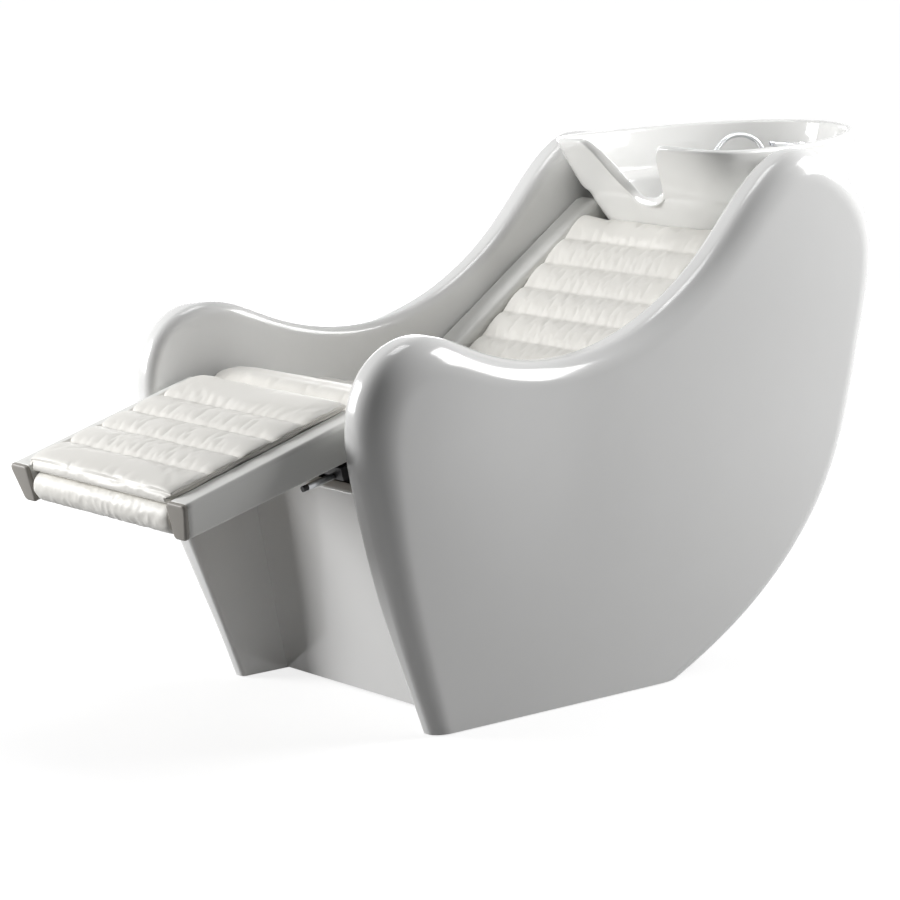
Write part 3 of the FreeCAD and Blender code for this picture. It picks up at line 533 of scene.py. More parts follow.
def fill(piece: Thing, sewn: Callable[[Vector], bool], pressure: float, slack: float, reach: float) -> None:
    """Swell a pad with cloth pressure between its seams, and keep each point near its start.

    Args:
        piece: The pad.
        sewn: Says for each point whether it is held.
        pressure: The cloth's pressure.
        slack: How much larger than its form the cover was cut.
        reach: The furthest that a point may move, in metres.
    """
    scene = bpy.context.scene
    held = piece.vertex_groups.new(name="sewn")
    held.add([v.index for v in piece.data.vertices if sewn(v.co)], 1.0, "REPLACE")
    start = [v.co.copy() for v in piece.data.vertices]
    cloth = piece.modifiers.new("fill", "CLOTH")
    cloth.settings.vertex_group_mass = held.name
    cloth.settings.use_pressure = True
    cloth.settings.uniform_pressure_force = pressure
    cloth.settings.effector_weights.gravity = 0.0
    cloth.settings.shrink_min = -slack
    cloth.settings.tension_stiffness = CLOTH_STRETCH
    cloth.settings.compression_stiffness = CLOTH_STRETCH
    cloth.settings.bending_stiffness = CLOTH_BENDING
    cloth.collision_settings.use_collision = False
    cloth.point_cache.frame_start = 1
    cloth.point_cache.frame_end = CLOTH_FRAMES
    for step in range(1, CLOTH_FRAMES + 1):
        scene.frame_set(step)
    swollen = piece.evaluated_get(bpy.context.evaluated_depsgraph_get())
    moved = [v.co.copy() for v in swollen.data.vertices]
    piece.modifiers.remove(cloth)
    scene.frame_set(1)
    for vertex, before, after in zip(piece.data.vertices, start, moved):
        shift = after - before
        if shift.length > reach:
            shift *= reach / shift.length
        vertex.co = before + shift
    piece.vertex_groups.clear()


def subdivide(piece: Thing, levels: int = 1) -> None:
    """Finish a piece with a subdivision surface.

    Args:
        piece: The piece.
        levels: How many times each face is divided.
    """
    finer = piece.modifiers.new("finer", "SUBSURF")
    finer.levels = levels
    finer.render_levels = levels


# Sub-assemblies


@dataclass
class SideShell:
    """One glossy side with a full rounded rim.

    Its arm swells outwards and its inner face flares at the front. On the right, the swell leaves a dish
    round the switch. A ramp is kept as its start and its run. The roundings are in millimetres, one for each
    point of the outline.
    """

    side: Side
    inner: float = 0.245
    foot: float = 0.283
    lean: float = 0.044
    swell: float = 0.028
    swell_along: Pair = (0.05, -0.45)
    swell_up: Pair = (0.05, 0.45)
    flare: float = 0.014
    flare_along: Pair = (-0.27, -0.17)
    flare_up: Pair = (0.15, 0.30)
    switch: Pair = (-0.330, 0.560)
    dish: Pair = (0.040, 0.060)
    skirt: float = 0.006
    lift: float = 0.002
    step: float = 0.007
    inner_steps: int = 11
    outer_steps: int = 15
    cell: float = 0.03
    cell_span: tuple[Pair, Pair] = ((-0.48, 0.76), (-0.05, 0.95))
    large_face: int = 100
    crease: float = 40.0
    outline: tuple[Pair, ...] = (
        (-0.26277, -0.060), (-0.286, 0.0), (-0.455, 0.440), (-0.471, 0.530), (-0.440, 0.635), (-0.340, 0.681),
        (-0.205, 0.645), (0.020, 0.612), (0.185, 0.656), (0.350, 0.768), (0.450, 0.873), (0.548, 0.931),
        (0.672, 0.891), (0.746, 0.800), (0.742, 0.585), (0.680, 0.335), (0.500, 0.120), (0.292, 0.0),
        (0.152, -0.060))
    inner_round: Row = (8, 8, 15, 18, 20, 22, 21, 18, 18, 20, 22, 24, 24, 22, 18, 14, 10, 8, 8)
    outer_round: Row = (20, 22, 40, 46, 48, 48, 44, 34, 34, 36, 38, 40, 40, 36, 32, 27, 23, 20, 20)
    outer_depth: Row = (28, 34, 60, 70, 72, 68, 58, 42, 46, 54, 58, 58, 56, 50, 42, 36, 28, 24, 24)

    def outside(self, spot: Vector) -> float:
        """Give the outer face's place across.

        Args:
            spot: The point in Y and Z.

        Returns:
            The distance from the unit's middle.
        """
        arm = ramp(spot.x, *self.swell_along) * ramp(spot.y, *self.swell_up)
        if self.side is Side.RIGHT:
            arm *= ramp((spot - Vector(self.switch)).length, *self.dish)
        return self.foot + self.lean * spot.y + self.swell * arm

    def inside(self, spot: Vector) -> float:
        """Give the inner face's place across, for a point in Y and Z."""
        return self.inner + self.flare * ramp(spot.x, *self.flare_along) * ramp(spot.y, *self.flare_up)

    def section(self, here: Vector, inward: Vector, r_in: float, r_out: float, reach: float) -> list[Point]:
        """Give the section from the inner face over the rim to the outer face.

        Args:
            here: The outline's point in Y and Z.
            inward: The direction away from the rim.
            r_in: The inner rounding.
            r_out: The outer rounding's size across the side.
            reach: The outer rounding's size down from the rim.

        Returns:
            The section's points.
        """
        row = []
        bends = [(r_in * (1 - math.sin(swing)), r_in * (1 - math.cos(swing)))
                 for swing in np.linspace(0, QUARTER, self.inner_steps)]
        for depth, across in [(r_in + self.skirt, 0.0)] + bends:
            spot = here + inward * depth
            row.append((self.inside(spot) + across, spot.x, spot.y))
        for swing in np.linspace(0, QUARTER, self.outer_steps):
            spot = here + inward * reach * (1 - math.cos(swing))
            row.append((self.outside(spot) - r_out * (1 - math.sin(swing)), spot.x, spot.y))
        spot = here + inward * (reach + self.skirt)
        row.append((self.outside(spot), spot.x, spot.y))
        return [(self.side.value * x, y, z) for x, y, z in row]

    def build(self) -> Thing:
        """Sweep the section along the outline and close the two faces.

        Returns:
            The side as one closed piece, cut at its foot.
        """
        line = Spline(self.outline)
        sizes = zip(self.inner_round, self.outer_round, self.outer_depth)
        rounds = Spline([tuple(size * MM for size in row) for row in sizes], line.knots)
        count = int(line.knots[-1] / self.step)
        rows = []
        for i in range(count + 1):
            where = line.knots[-1] * i / count
            here = Vector(line.at(where))
            ahead = (Vector(line.at(where + PROBE)) - Vector(line.at(where - PROBE))).normalized()
            rows.append(self.section(here, Vector((ahead.y, -ahead.x)), *rounds.at(where)))
        width = len(rows[0])
        points = [p for row in rows for p in row]
        faces = []
        for i in range(len(rows) - 1):
            for j in range(width - 1):
                low, high = i * width + j, (i + 1) * width + j
                faces.append((low, low + 1, high + 1, high))
        faces.append(tuple(i * width for i in range(len(rows))))
        faces.append(tuple(i * width + width - 1 for i in range(len(rows))))
        piece = mesh_piece(self.side.word() + "_side", points, faces, self.crease)
        self.finish(piece)
        return piece

    def curve_face(self, work: bmesh.types.BMesh, face: bmesh.types.BMFace,
                   across: Callable[[Vector], float]) -> None:
        """Cut a large face into cells and bring their corners to the face's curve.

        Args:
            work: The mesh at work.
            face: The face.
            across: The face's place across, for a point in Y and Z.
        """
        cells = [face]
        for way, (first, last) in zip((Vector((0, 1, 0)), Vector((0, 0, 1))), self.cell_span):
            for place in np.arange(first, last, self.cell):
                parts = set(cells)
                for cell in cells:
                    parts.update(cell.edges)
                    parts.update(cell.verts)
                cut = bmesh.ops.bisect_plane(work, geom=list(parts), dist=MERGE, plane_co=way * place,
                                             plane_no=way)
                cells = [part for part in cut["geom"] if isinstance(part, bmesh.types.BMFace)]
        for vert in {vert for cell in cells for vert in cell.verts}:
            vert.co.x = self.side.value * across(Vector((vert.co.y, vert.co.z)))

    def finish(self, piece: Thing) -> None:
        """Curve the two faces, then cut the shell at its foot and close it there.

        Args:
            piece: The side as it was swept.
        """
        work = bmesh.new()
        work.from_mesh(piece.data)
        for across, pick in ((self.inside, min), (self.outside, max)):
            large = [face for face in work.faces if len(face.verts) > self.large_face]
            depth = {face: abs(face.calc_center_median().x) for face in large}
            self.curve_face(work, pick(large, key=depth.get), across)
        bmesh.ops.bisect_plane(work, geom=work.verts[:] + work.edges[:] + work.faces[:], dist=MERGE,
                               plane_co=(0, 0, self.lift), plane_no=(0, 0, -1), clear_outer=True)
        bmesh.ops.holes_fill(work, edges=[e for e in work.edges if e.is_boundary])
        bmesh.ops.recalc_face_normals(work, faces=work.faces)
        work.to_mesh(piece.data)
        work.free()
        shade_smooth(piece.data, self.crease)

    def dress(self) -> None:
        """Build the side and give it its gel coat."""
        dress(self.build(), GELCOAT, "unit", [self.side.word() + "_side_shell"])


@dataclass
class FrontPanel:
    """The panel between the sides, which leans forwards to its rolled top edge."""

    half: float = 0.2449
    foot: float = -0.186
    lean: float = 12.0
    lift: float = 0.004
    height: float = 0.378
    wall: float = 0.006
    lip: float = 0.030
    rounds: Row = (0.0004, 0.0055, 0.002, 0.002, 0.001, 0.0004)

    def dress(self) -> None:
        """Build the panel as one folded sheet and give it its gel coat."""
        top = self.height / math.cos(math.radians(self.lean))
        corners = [(0.0, self.lift), (0.0, top), (self.lip, top), (self.lip, top - self.wall),
                   (self.wall, top - self.wall), (self.wall, self.lift)]
        ring = rounded_ring(corners, self.rounds)
        place = Place(self.lean, self.foot, 0.0)
        rings = [[place.point(x, y, z) for y, z in ring] for x in (-self.half, self.half)]
        dress(loft("front_cover", rings), GELCOAT, "unit", ["front_panel"])


@dataclass
class Basin:
    """The glazed basin: a tub with a deck at its rear, a bowl, a drain and a neck notch in its front.

    It stands behind the back's upper end. Its other sizes are millimetres from the rim's middle: each row of
    a layer is a height, the plan's half width, the widest place along, and the plan's front and rear.
    """

    behind_back: float = 0.106
    above_back: float = 0.1521
    columns: int = 176
    fine: int = 6001
    outer_upper: tuple[Row, ...] = (
        (-105, 224, 10, -114, 334), (-79, 229, 10, -136, 350), (0, 237, 0, -198, 366))
    outer_lower: tuple[Row, ...] = (
        (-213, 118, 22, -54, 102), (-175, 162, 20, -81, 145), (-145, 190, 16, -92, 174),
        (-106, 208, 10, -115, 202))
    tub: tuple[Row, ...] = ((-89, 211, 10, -109, 322), (-40, 215, 5, -148, 338), (0, 221, 0, -182, 349))
    bowl: tuple[Row, ...] = ((-187, 94, 20, -44, 90), (-145, 162, 16, -85, 150), (-92, 190, 10, -108, 180))
    notch: tuple[Pair, ...] = ((0, -106), (38, -96), (62, -62), (78, -24), (94, 0), (106, 30))
    rise: float = 12.0
    sag: float = 9.0
    soft: float = 7.0
    lip: float = 7.0
    notch_lip: float = 6.0
    notch_start: float = -3.0
    notch_run: float = 60.0
    foot: Pair = (-213.0, -107.0)
    foot_under: float = 8.0
    shoulder: float = -105.0
    shoulder_least: float = 2.0
    wall_least: float = 4.0
    deck: float = -89.0
    floor: float = -187.0
    wall_rows: int = 9
    lip_rows: int = 10
    tub_shares: tuple[float, float, int] = (0.08, 0.47, 8)
    bowl_shares: tuple[float, float, int] = (0.50, 1.0, 12)
    drain_set: float = 20.0
    drain_edge: float = 26.0
    drain_dip: float = 1.0
    drain_shares: Row = (0.3, 0.65, 1.0)
    drain_radius: float = 24.0
    drain_ends: Pair = (-190.0, -211.0)

    def plan(self, sizes: Sequence[float], turn: float) -> Pair:
        """Give a point of a plan, which is squared at the front and round at the rear.

        Args:
            sizes: The plan's half width, widest place, front and rear.
            turn: The turn from the front's middle.

        Returns:
            The point's places across and along.
        """
        half, centre, front, rear = sizes
        side = math.copysign(1.0, math.sin(turn))
        if math.cos(turn) >= 0:
            across, along = math.sqrt(abs(math.sin(turn))), math.sqrt(math.cos(turn))
            return side * half * across, centre - (centre - front) * along
        return side * half * abs(math.sin(turn)), centre + (rear - centre) * -math.cos(turn)

    def turns(self) -> list[float]:
        """Give the columns' turns, evenly spaced along the rim.

        Returns:
            The turns from the front's middle.
        """
        fine = np.linspace(0, 2 * math.pi, self.fine)
        rim = np.array([self.plan(self.outer_upper[-1][1:], t) for t in fine])
        lengths = np.concatenate([[0], np.cumsum(np.linalg.norm(np.diff(rim, axis=0), axis=1))])
        wanted = np.linspace(0, lengths[-1], self.columns, endpoint=False)
        return list(np.interp(wanted, lengths, fine))

    def top(self, turn: float) -> float:
        """Give the rim's height: it sags at the sides, rises to the rear and falls into the notch.

        Args:
            turn: The turn from the front's middle.

        Returns:
            The height over the rim's level.
        """
        level = self.rise * smooth_step((1 - math.cos(turn)) / 2) - self.sag * math.sin(turn) ** 2
        across = abs(self.plan(self.outer_upper[-1][1:], turn)[0])
        if math.cos(turn) < 0.0 or across > self.notch[-1][0]:
            return level
        dip = Spline([(z,) for _, z in self.notch], [x for x, _ in self.notch])
        return level - self.soft * math.log(1 + math.exp(-float(dip.at(across)[0]) / self.soft))

    def spot(self, layer: Spline, turn: float, height: float) -> Point:
        """Give a layer's point at a turn and a height, with its plan held past the layer's ends."""
        x, y = self.plan(layer.at(min(max(height, layer.knots[0]), layer.knots[-1])), turn)
        return x, y, height

    def column(self, turn: float, layers: dict[str, Spline]) -> list[Point]:
        """Give one column of the basin, up its outside, over the lip and down its inside to the drain.

        Args:
            turn: The column's turn from the front's middle.
            layers: For each layer, its plan sizes by height.

        Returns:
            The column's points in place.
        """
        crest = self.top(turn)
        lip = self.lip
        if crest <= self.notch_start:
            lip += self.notch_lip * smooth_step(-crest / self.notch_run)
        edge = crest - lip
        start = self.shoulder if edge > self.shoulder + self.shoulder_least else edge - self.wall_least
        spots = [self.spot(layers["outer_lower"], turn, min(height, crest - self.foot_under))
                 for height in np.linspace(*self.foot, self.wall_rows)]
        spots += [self.spot(layers["outer_upper"], turn, height)
                  for height in np.linspace(start, edge, self.wall_rows)]
        outside = Vector(spots[-1])
        inside = Vector(self.spot(layers["tub" if edge > self.deck else "bowl"], turn, edge))
        for k in range(1, self.lip_rows):
            swing = math.pi * k / self.lip_rows
            over = outside.lerp(inside, (1 - math.cos(swing)) / 2)
            spots.append((over.x, over.y, edge + lip * math.sin(swing)))
        spots.append(tuple(inside))
        fall = edge - self.floor
        for share in np.linspace(*self.tub_shares):
            height = edge - fall * share
            spots.append(self.spot(layers["tub" if height > self.deck else "bowl"], turn, height))
        spots += [self.spot(layers["bowl"], turn, edge - fall * share)
                  for share in np.linspace(*self.bowl_shares)]
        spots += self.drain(turn, spots[-1])
        return [(x * MM, BACK_TOP[1] + self.behind_back + y * MM, BACK_TOP[2] + self.above_back + z * MM)
                for x, y, z in spots]

    def drain(self, turn: float, last: Point) -> list[Point]:
        """Give a column's points over the bowl's floor and down the drain.

        Args:
            turn: The column's turn from the front's middle.
            last: The column's last point above the floor.

        Returns:
            The points, in millimetres.
        """
        across, along = math.sin(turn), -math.cos(turn)
        spots = []
        for share in self.drain_shares:
            x = last[0] + (self.drain_edge * across - last[0]) * share
            y = last[1] + (self.drain_set + self.drain_edge * along - last[1]) * share
            spots.append((x, y, self.floor - self.drain_dip * share))
        for height in self.drain_ends:
            spots.append((self.drain_radius * across, self.drain_set + self.drain_radius * along, height))
        return spots

    def dress(self) -> None:
        """Build the basin as one closed skin and give it its glaze."""
        layers = {}
        for name in ("outer_upper", "outer_lower", "tub", "bowl"):
            rows = getattr(self, name)
            layers[name] = Spline([row[1:] for row in rows], [row[0] for row in rows])
        rings = [self.column(turn, layers) for turn in self.turns()]
        piece = loft("wash_basin", rings, closed=True, crease=70.0)
        subdivide(piece)
        dress(piece, CERAMIC, "unit", ["basin"])


@dataclass
class ChannelPad:
    """A channelled pad: crowned rolls between sewn seams, drawn in at its sides, with a shaped underside.

    A lap or a shelf is kept as the place where it starts and the underside's height there. The folds stand
    close beside the seams, and the waves run slowly over the whole cover.
    """

    name: str
    node: str
    body: str
    place: Place
    seams: Row
    half: float
    valley: float
    bulge: float
    low: float
    nose: float = 0.0
    nose_draw: float = 0.008
    nose_foot: float = 0.088
    nose_steps: int = 16
    nose_sewn: int = 2
    draw: float = 0.009
    puff: float = 0.55
    square: float = 2.2
    crest: float = 0.5
    edge_crown: float = 0.35
    edge_soft: float = 0.022
    edge_first: float = 0.2
    edge_steps: int = 9
    edge_sewn: float = 0.97
    end_round: float = 0.004
    end_steps: int = 9
    end_sewn: float = 0.1
    lap: Optional[Pair] = None
    lap_step: float = 0.0004
    shelf: Optional[Pair] = None
    shelf_step: float = 0.0003
    scallop: float = 0.0
    scallop_power: int = 6
    wrinkle: float = 0.0010
    fold_rate: float = 62.0
    fold_rows: float = 9.0
    fold_shift: float = 3.1
    fold_layer: float = 0.3
    fold_share: float = 1.3
    fold_fade: float = 0.016
    wave_across: float = 9.0
    wave_along: float = 14.0
    wave_layer: float = 4.7
    wave_share: float = 0.9
    pressure: float = 4.0
    slack: float = 0.018
    swell: float = 0.004
    per_roll: int = 14
    flat_steps: int = 48
    under_steps: int = 14
    digits: int = 5
    stitch_margin: float = 0.024
    stitch_lift: float = 0.0006
    stitch_points: int = 80

    def lines(self) -> list[float]:
        """Give the seams' places along the pad, with the top of a nose as the first."""
        return ([0.0] if self.nose else []) + list(self.seams)

    def roll(self, along: float) -> Pair:
        """Find a place along the pad in its roll.

        Args:
            along: The place.

        Returns:
            The share of the roll's width, and the distance to the nearest seam.
        """
        seams = self.lines()
        held = min(max(along, seams[0]), seams[-1])
        i = min(max(int(np.searchsorted(seams, held)) - 1, 0), len(seams) - 2)
        share = (held - seams[i]) / (seams[i + 1] - seams[i])
        return share, min(held - seams[i], seams[i + 1] - held)

    def crown(self, share: float) -> float:
        """Give a roll's height over its seams, from nought to one, at a share of its width."""
        leaned = share ** (math.log(0.5) / math.log(self.crest))
        return (1 - abs(2 * leaned - 1) ** self.square) ** self.puff

    def puckers(self, across: float, along: float) -> float:
        """Give the height of the small folds that run out from the seams.

        Args:
            across: The place across the pad.
            along: The place along it.

        Returns:
            The height over the smooth cover.
        """
        _, near = self.roll(along)
        row = round(along * self.fold_rows) * self.fold_shift
        fold = noise.noise(Vector((across * self.fold_rate, row, self.fold_layer)))
        wave = noise.noise(Vector((across * self.wave_across, along * self.wave_along, self.wave_layer)))
        fold *= self.fold_share * math.exp(-near / self.fold_fade)
        return self.wrinkle * (fold + self.wave_share * wave)

    def underside(self, along: float, across: float) -> float:
        """Give the underside's height, which steps up over what the pad laps.

        Args:
            along: The place along the pad.
            across: The place across it.

        Returns:
            The height over the pad's plane.
        """
        if self.shelf and abs(across) > self.shelf[0]:
            return self.shelf[1]
        if self.lap and along < self.lap[0]:
            return self.lap[1]
        return self.low

    def profile(self, across: float, edge: float) -> list[Sewn]:
        """Give the pad's closed section.

        Args:
            across: The section's place across the pad.
            edge: Nought in the pad's middle, one at its side.

        Returns:
            Along, height and whether the point is sewn, for each point.
        """
        crown = self.bulge * (1 - (1 - self.edge_crown) * edge)
        valley = self.valley - self.draw * edge
        radius = self.nose - self.nose_draw * edge
        seams = self.lines()
        ring: list[Sewn] = []
        if self.nose:
            for k in range(self.nose_steps + 1):
                swing = math.pi * k / self.nose_steps
                ring.append((-radius * math.sin(swing), -radius * math.cos(swing), k < self.nose_sewn))
        else:
            ring += self.end(seams[0], 1, valley, self.underside(seams[0], across))
        for i in range(len(seams) - 1):
            start = radius if self.nose and i == 0 else valley
            for k in range(0 if i else 1, self.per_roll):
                share = k / self.per_roll
                along = seams[i] + (seams[i + 1] - seams[i]) * share
                level = start + (valley - start) * share
                ring.append((along, level + crown * self.crown(share) + self.puckers(across, along), k == 0))
        ring += reversed(self.end(seams[-1], -1, valley, self.underside(seams[-1], across)))
        first = self.nose_foot if self.nose else seams[0] + self.end_round
        spots = list(np.linspace(seams[-1] - self.end_round, first, self.under_steps)[1:-1])
        if self.lap:
            spots = sorted(spots + [self.lap[0] + self.lap_step, self.lap[0] - self.lap_step], reverse=True)
        ring += [(float(along), self.underside(along, across), True) for along in spots]
        if self.nose:
            ring.append((first, self.low, True))
        return ring

    def end(self, along: float, inward: int, high: float, low: float) -> list[Sewn]:
        """Give a rounded end wall, held in its lower half.

        Args:
            along: The wall's place.
            inward: The sign of the way into the pad.
            high: The height of its top seam.
            low: The height of its foot.

        Returns:
            Along, height and whether the point is sewn, from foot to top.
        """
        wall = []
        for swing in np.linspace(-QUARTER, QUARTER, self.end_steps):
            wall.append((along + inward * self.end_round * (1 - math.cos(swing)),
                         (high + low) / 2 + (high - low) / 2 * math.sin(swing), swing < self.end_sewn))
        return wall

    def stations(self) -> list[Pair]:
        """Give the pad's stations across, each with how near it is to the side.

        Returns:
            Places across, from side to side, with nought in the middle and one at a side.
        """
        soft, flat = self.edge_soft, self.half - self.edge_soft
        right = [(float(x), 0.0) for x in np.linspace(0, flat, self.flat_steps)]
        right += [(flat + soft * math.sin(swing), 1 - math.cos(swing))
                  for swing in np.linspace(self.edge_first, QUARTER, self.edge_steps)]
        if self.shelf:
            for x in (self.shelf[0] - self.shelf_step, self.shelf[0] + self.shelf_step):
                right.append((x, 1 - math.sqrt(max(0.0, 1 - ((x - flat) / soft) ** 2))))
            right.sort()
        return [(-x, e) for x, e in reversed(right[1:])] + right

    def build(self) -> Thing:
        """Skin the pad, fill it with cloth pressure and refine it.

        Returns:
            The pad.
        """
        rings, sewn = [], set()
        for x, edge in self.stations():
            ring = []
            for along, height, held in self.profile(x, edge):
                share, _ = self.roll(along)
                pulled = self.scallop * (1 - self.crown(share)) * (abs(x) / self.half) ** self.scallop_power
                spot = self.place.point(x - math.copysign(pulled, x), along, height)
                ring.append(spot)
                if held or edge > self.edge_sewn:
                    sewn.add(tuple(round(c, self.digits) for c in spot))
            rings.append(ring)
        pad = loft(self.name, rings, crease=70.0)
        fill(pad, lambda co: tuple(round(c, self.digits) for c in co) in sewn, self.pressure, self.slack,
             self.swell)
        subdivide(pad)
        return pad

    def seam_lines(self) -> list[list[Point]]:
        """Give the lines of the sewn valleys, a little above the cover.

        Returns:
            A row of points for each seam between two rolls.
        """
        reach = self.half - self.stitch_margin
        lines = []
        for seam in self.seams[1:-1]:
            lines.append([self.place.point(x, seam, self.valley + self.puckers(x, seam) + self.stitch_lift)
                          for x in np.linspace(-reach, reach, self.stitch_points)])
        return lines

    def dress(self) -> None:
        """Build the pad and its stitches and give them their channelled vinyl."""
        pad = dress(self.build(), VINYL_CHANNELLED, self.body, [self.node])
        rows = Stitches().build(self.name + "_stitches", self.seam_lines())
        dress(rows, VINYL_CHANNELLED, self.body)


@dataclass
class StripPad:
    """A plain padded strip beside a channelled pad, crowned and closed at both ends."""

    name: str
    node: str
    side: Side
    place: Place
    inside: float
    outside: float
    start: float
    end: float
    low: float
    top_start: float
    top_end: float
    round_off: float = 0.011
    foot_round: float = 0.002
    round_steps: int = 8
    crown: float = 0.0025
    end_run: float = 0.012
    end_fall: float = 0.012
    end_share: float = 0.4
    end_turns: Row = (0.5, 0.9, 1.2)
    length_steps: int = 40

    def stations(self) -> list[Pair]:
        """Give the strip's stations along its length.

        Returns:
            Places along, each with its share of the full height.
        """
        run, share = self.end_run, self.end_share
        bends = [(run * (1 - math.cos(turn)), 1 - share * math.cos(turn)) for turn in self.end_turns]
        middle = np.linspace(self.start + run, self.end - run, self.length_steps)
        return ([(self.start, 1 - share)] + [(self.start + along, level) for along, level in bends]
                + [(along, 1.0) for along in middle]
                + [(self.end - along, level) for along, level in reversed(bends)] + [(self.end, 1 - share)])

    def dress(self) -> None:
        """Build the strip and give it its plain vinyl."""
        middle, half = (self.inside + self.outside) / 2, (self.outside - self.inside) / 2
        radius = self.round_off
        rings = []
        for along, share in self.stations():
            reach = (along - self.start) / (self.end - self.start)
            top = self.top_start + (self.top_end - self.top_start) * reach - self.end_fall * (1 - share)
            corners = [(self.inside, self.low), (self.outside, self.low), (self.outside, top),
                       (self.inside, top)]
            rounds = (self.foot_round, self.foot_round, radius, radius)
            ring = []
            for x, z in rounded_ring(corners, rounds, self.round_steps):
                lifted = self.crown * (1 - ((x - middle) / half) ** 2) if z > top - radius else 0.0
                ring.append(self.place.point(self.side.value * x, along, z + lifted))
            rings.append(ring)
        strip = dress(loft(self.name, rings, crease=60.0), VINYL_PLAIN, "unit", [self.node])


@dataclass
class LegRest:
    """The leg rest's padded rails with their caps, its end roll, its stays' sleeves and its edge strip.

    A rail's stops are a share of its length and an inset, a cap's steps a distance past it and an inset.
    """

    crease: float = 60.0
    inside: float = 0.193
    outside: float = 0.242
    start: float = 0.044
    end: float = 0.423
    top: float = 0.037
    bottom: float = 0.038
    front_bottom: float = 0.027
    tuck: float = 0.018
    bevel: Pair = (0.004, 0.006)
    rail_rounds: Row = (0.006, 0.009, 0.006, 0.006, 0.008)
    rail_round_steps: int = 5
    rail_first: tuple[Pair, ...] = ((0.0, 0.006), (0.002, 0.002), (0.006, 0.0))
    rail_middle: Row = even(0.03, 0.97, 30)
    rail_last: tuple[Pair, ...] = ((0.994, 0.0), (1.0, 0.0012))
    cap_steps: tuple[Pair, ...] = (
        (0.0005, 0.0), (0.0050, 0.0), (0.0068, 0.0008), (0.0078, 0.0024), (0.0080, 0.0045))
    roll_radius: float = 0.027
    roll_along: float = -0.408
    roll_height: float = -0.002
    roll_half: float = 0.188
    roll_gather: tuple[Pair, ...] = ((0.0, 0.012), (0.0002, 0.017))
    roll_end: Pair = (0.014, 0.007)
    roll_end_steps: int = 6
    roll_margin: float = 0.02
    roll_length_steps: int = 140
    roll_sides: int = 48
    roll_pucker: float = 0.0022
    pucker_across: float = 55.0
    pucker_around: float = 1.6
    pucker_fade: Pair = (0.02, 0.007)
    board_half: float = 0.1915
    board_edge: tuple[Pair, ...] = (
        (-0.0475, -0.0152), (-0.0446, -0.0152), (-0.0446, -0.0036), (-0.0475, -0.0036))
    board_rounds: Row = (0.0004, 0.0012, 0.0012, 0.0004)
    board_round_steps: int = 4
    stay_root: Pair = (-0.112, -0.0567)
    stay_tip: Pair = (-0.1655, -0.0524)
    stay_across: float = 0.200
    stay_radius: float = 0.0055
    stay_bevel: float = 0.0006

    def section(self, share: float, inset: float = 0.0) -> list[Pair]:
        """Give the rail's section.

        Args:
            share: The share of the rail's length.
            inset: How far the section is moved inwards.

        Returns:
            Its points across and up.
        """
        low = inset - (self.bottom + (self.front_bottom - self.bottom) * share)
        near, far, top = self.inside + inset, self.outside - inset, self.top - inset
        corners = [(near, low), (far - self.tuck, low), (far, top - self.bevel[1]),
                   (far - self.bevel[0], top), (near, top)]
        return rounded_ring(corners, self.rail_rounds, self.rail_round_steps)

    def rail(self, side: Side) -> None:
        """Build one padded rail.

        Args:
            side: The rail's side.
        """
        rings = []
        for share, inset in self.rail_first + tuple((s, 0.0) for s in self.rail_middle) + self.rail_last:
            along = -(self.start + (self.end - self.start) * share)
            rings.append([LEG.point(side.value * x, along, z) for x, z in self.section(share, inset)])
        pad = loft(side.word() + "_rail_pad", rings, crease=self.crease)
        rail = dress(pad, VINYL_PLAIN, "leg_rest", [side.word() + "_leg_rail"])

    def caps(self) -> None:
        """Build the two moulded caps at the rails' ends as one piece."""
        caps = []
        for side in Side:
            rings = []
            for along, inset in self.cap_steps:
                section = self.section(1.0, inset)
                rings.append([LEG.point(side.value * x, -self.end - along, z) for x, z in section])
            caps.append(loft("cap_side", rings, crease=self.crease))
        left, right = caps
        work = bmesh.new()
        work.from_mesh(left.data)
        work.from_mesh(right.data)
        work.to_mesh(left.data)
        work.free()
        left.data.set_sharp_from_angle(angle=math.radians(self.crease))
        bpy.data.objects.remove(right)
        left.name = "rail_end_caps"
        dress(left, GREY_PLASTIC, "leg_rest", ["leg_rail_caps"])

    def roll(self) -> None:
        """Build the padded roll with its gathered ends."""
        run, drop = self.roll_end
        right = [(self.roll_half + out, radius) for out, radius in self.roll_gather]
        for swing in np.linspace(0, QUARTER, self.roll_end_steps):
            right.append((self.roll_half - run * (1 - math.cos(swing)),
                          self.roll_radius - drop * (1 - math.sin(swing))))
        flat = self.roll_half - self.roll_margin
        middle = [(x, self.roll_radius) for x in even(flat, -flat, self.roll_length_steps)]
        rings = []
        for across, radius in right + middle + [(-x, r) for x, r in reversed(right)]:
            ring = []
            for i in range(self.roll_sides):
                angle = 2 * math.pi * i / self.roll_sides
                around = Vector((across * self.pucker_across, self.pucker_around * math.cos(angle),
                                 self.pucker_around * math.sin(angle)))
                pucker = self.roll_pucker * abs(noise.noise(around)) * ramp(radius, *self.pucker_fade)
                ring.append(LEG.point(across, self.roll_along + (radius - pucker) * math.cos(angle),
                                      self.roll_height + (radius - pucker) * math.sin(angle)))
            rings.append(ring)
        pad = loft("front_roll_pad", rings, crease=self.crease)
        roll = dress(pad, VINYL_CHANNELLED, "leg_rest", ["leg_front_roll"])

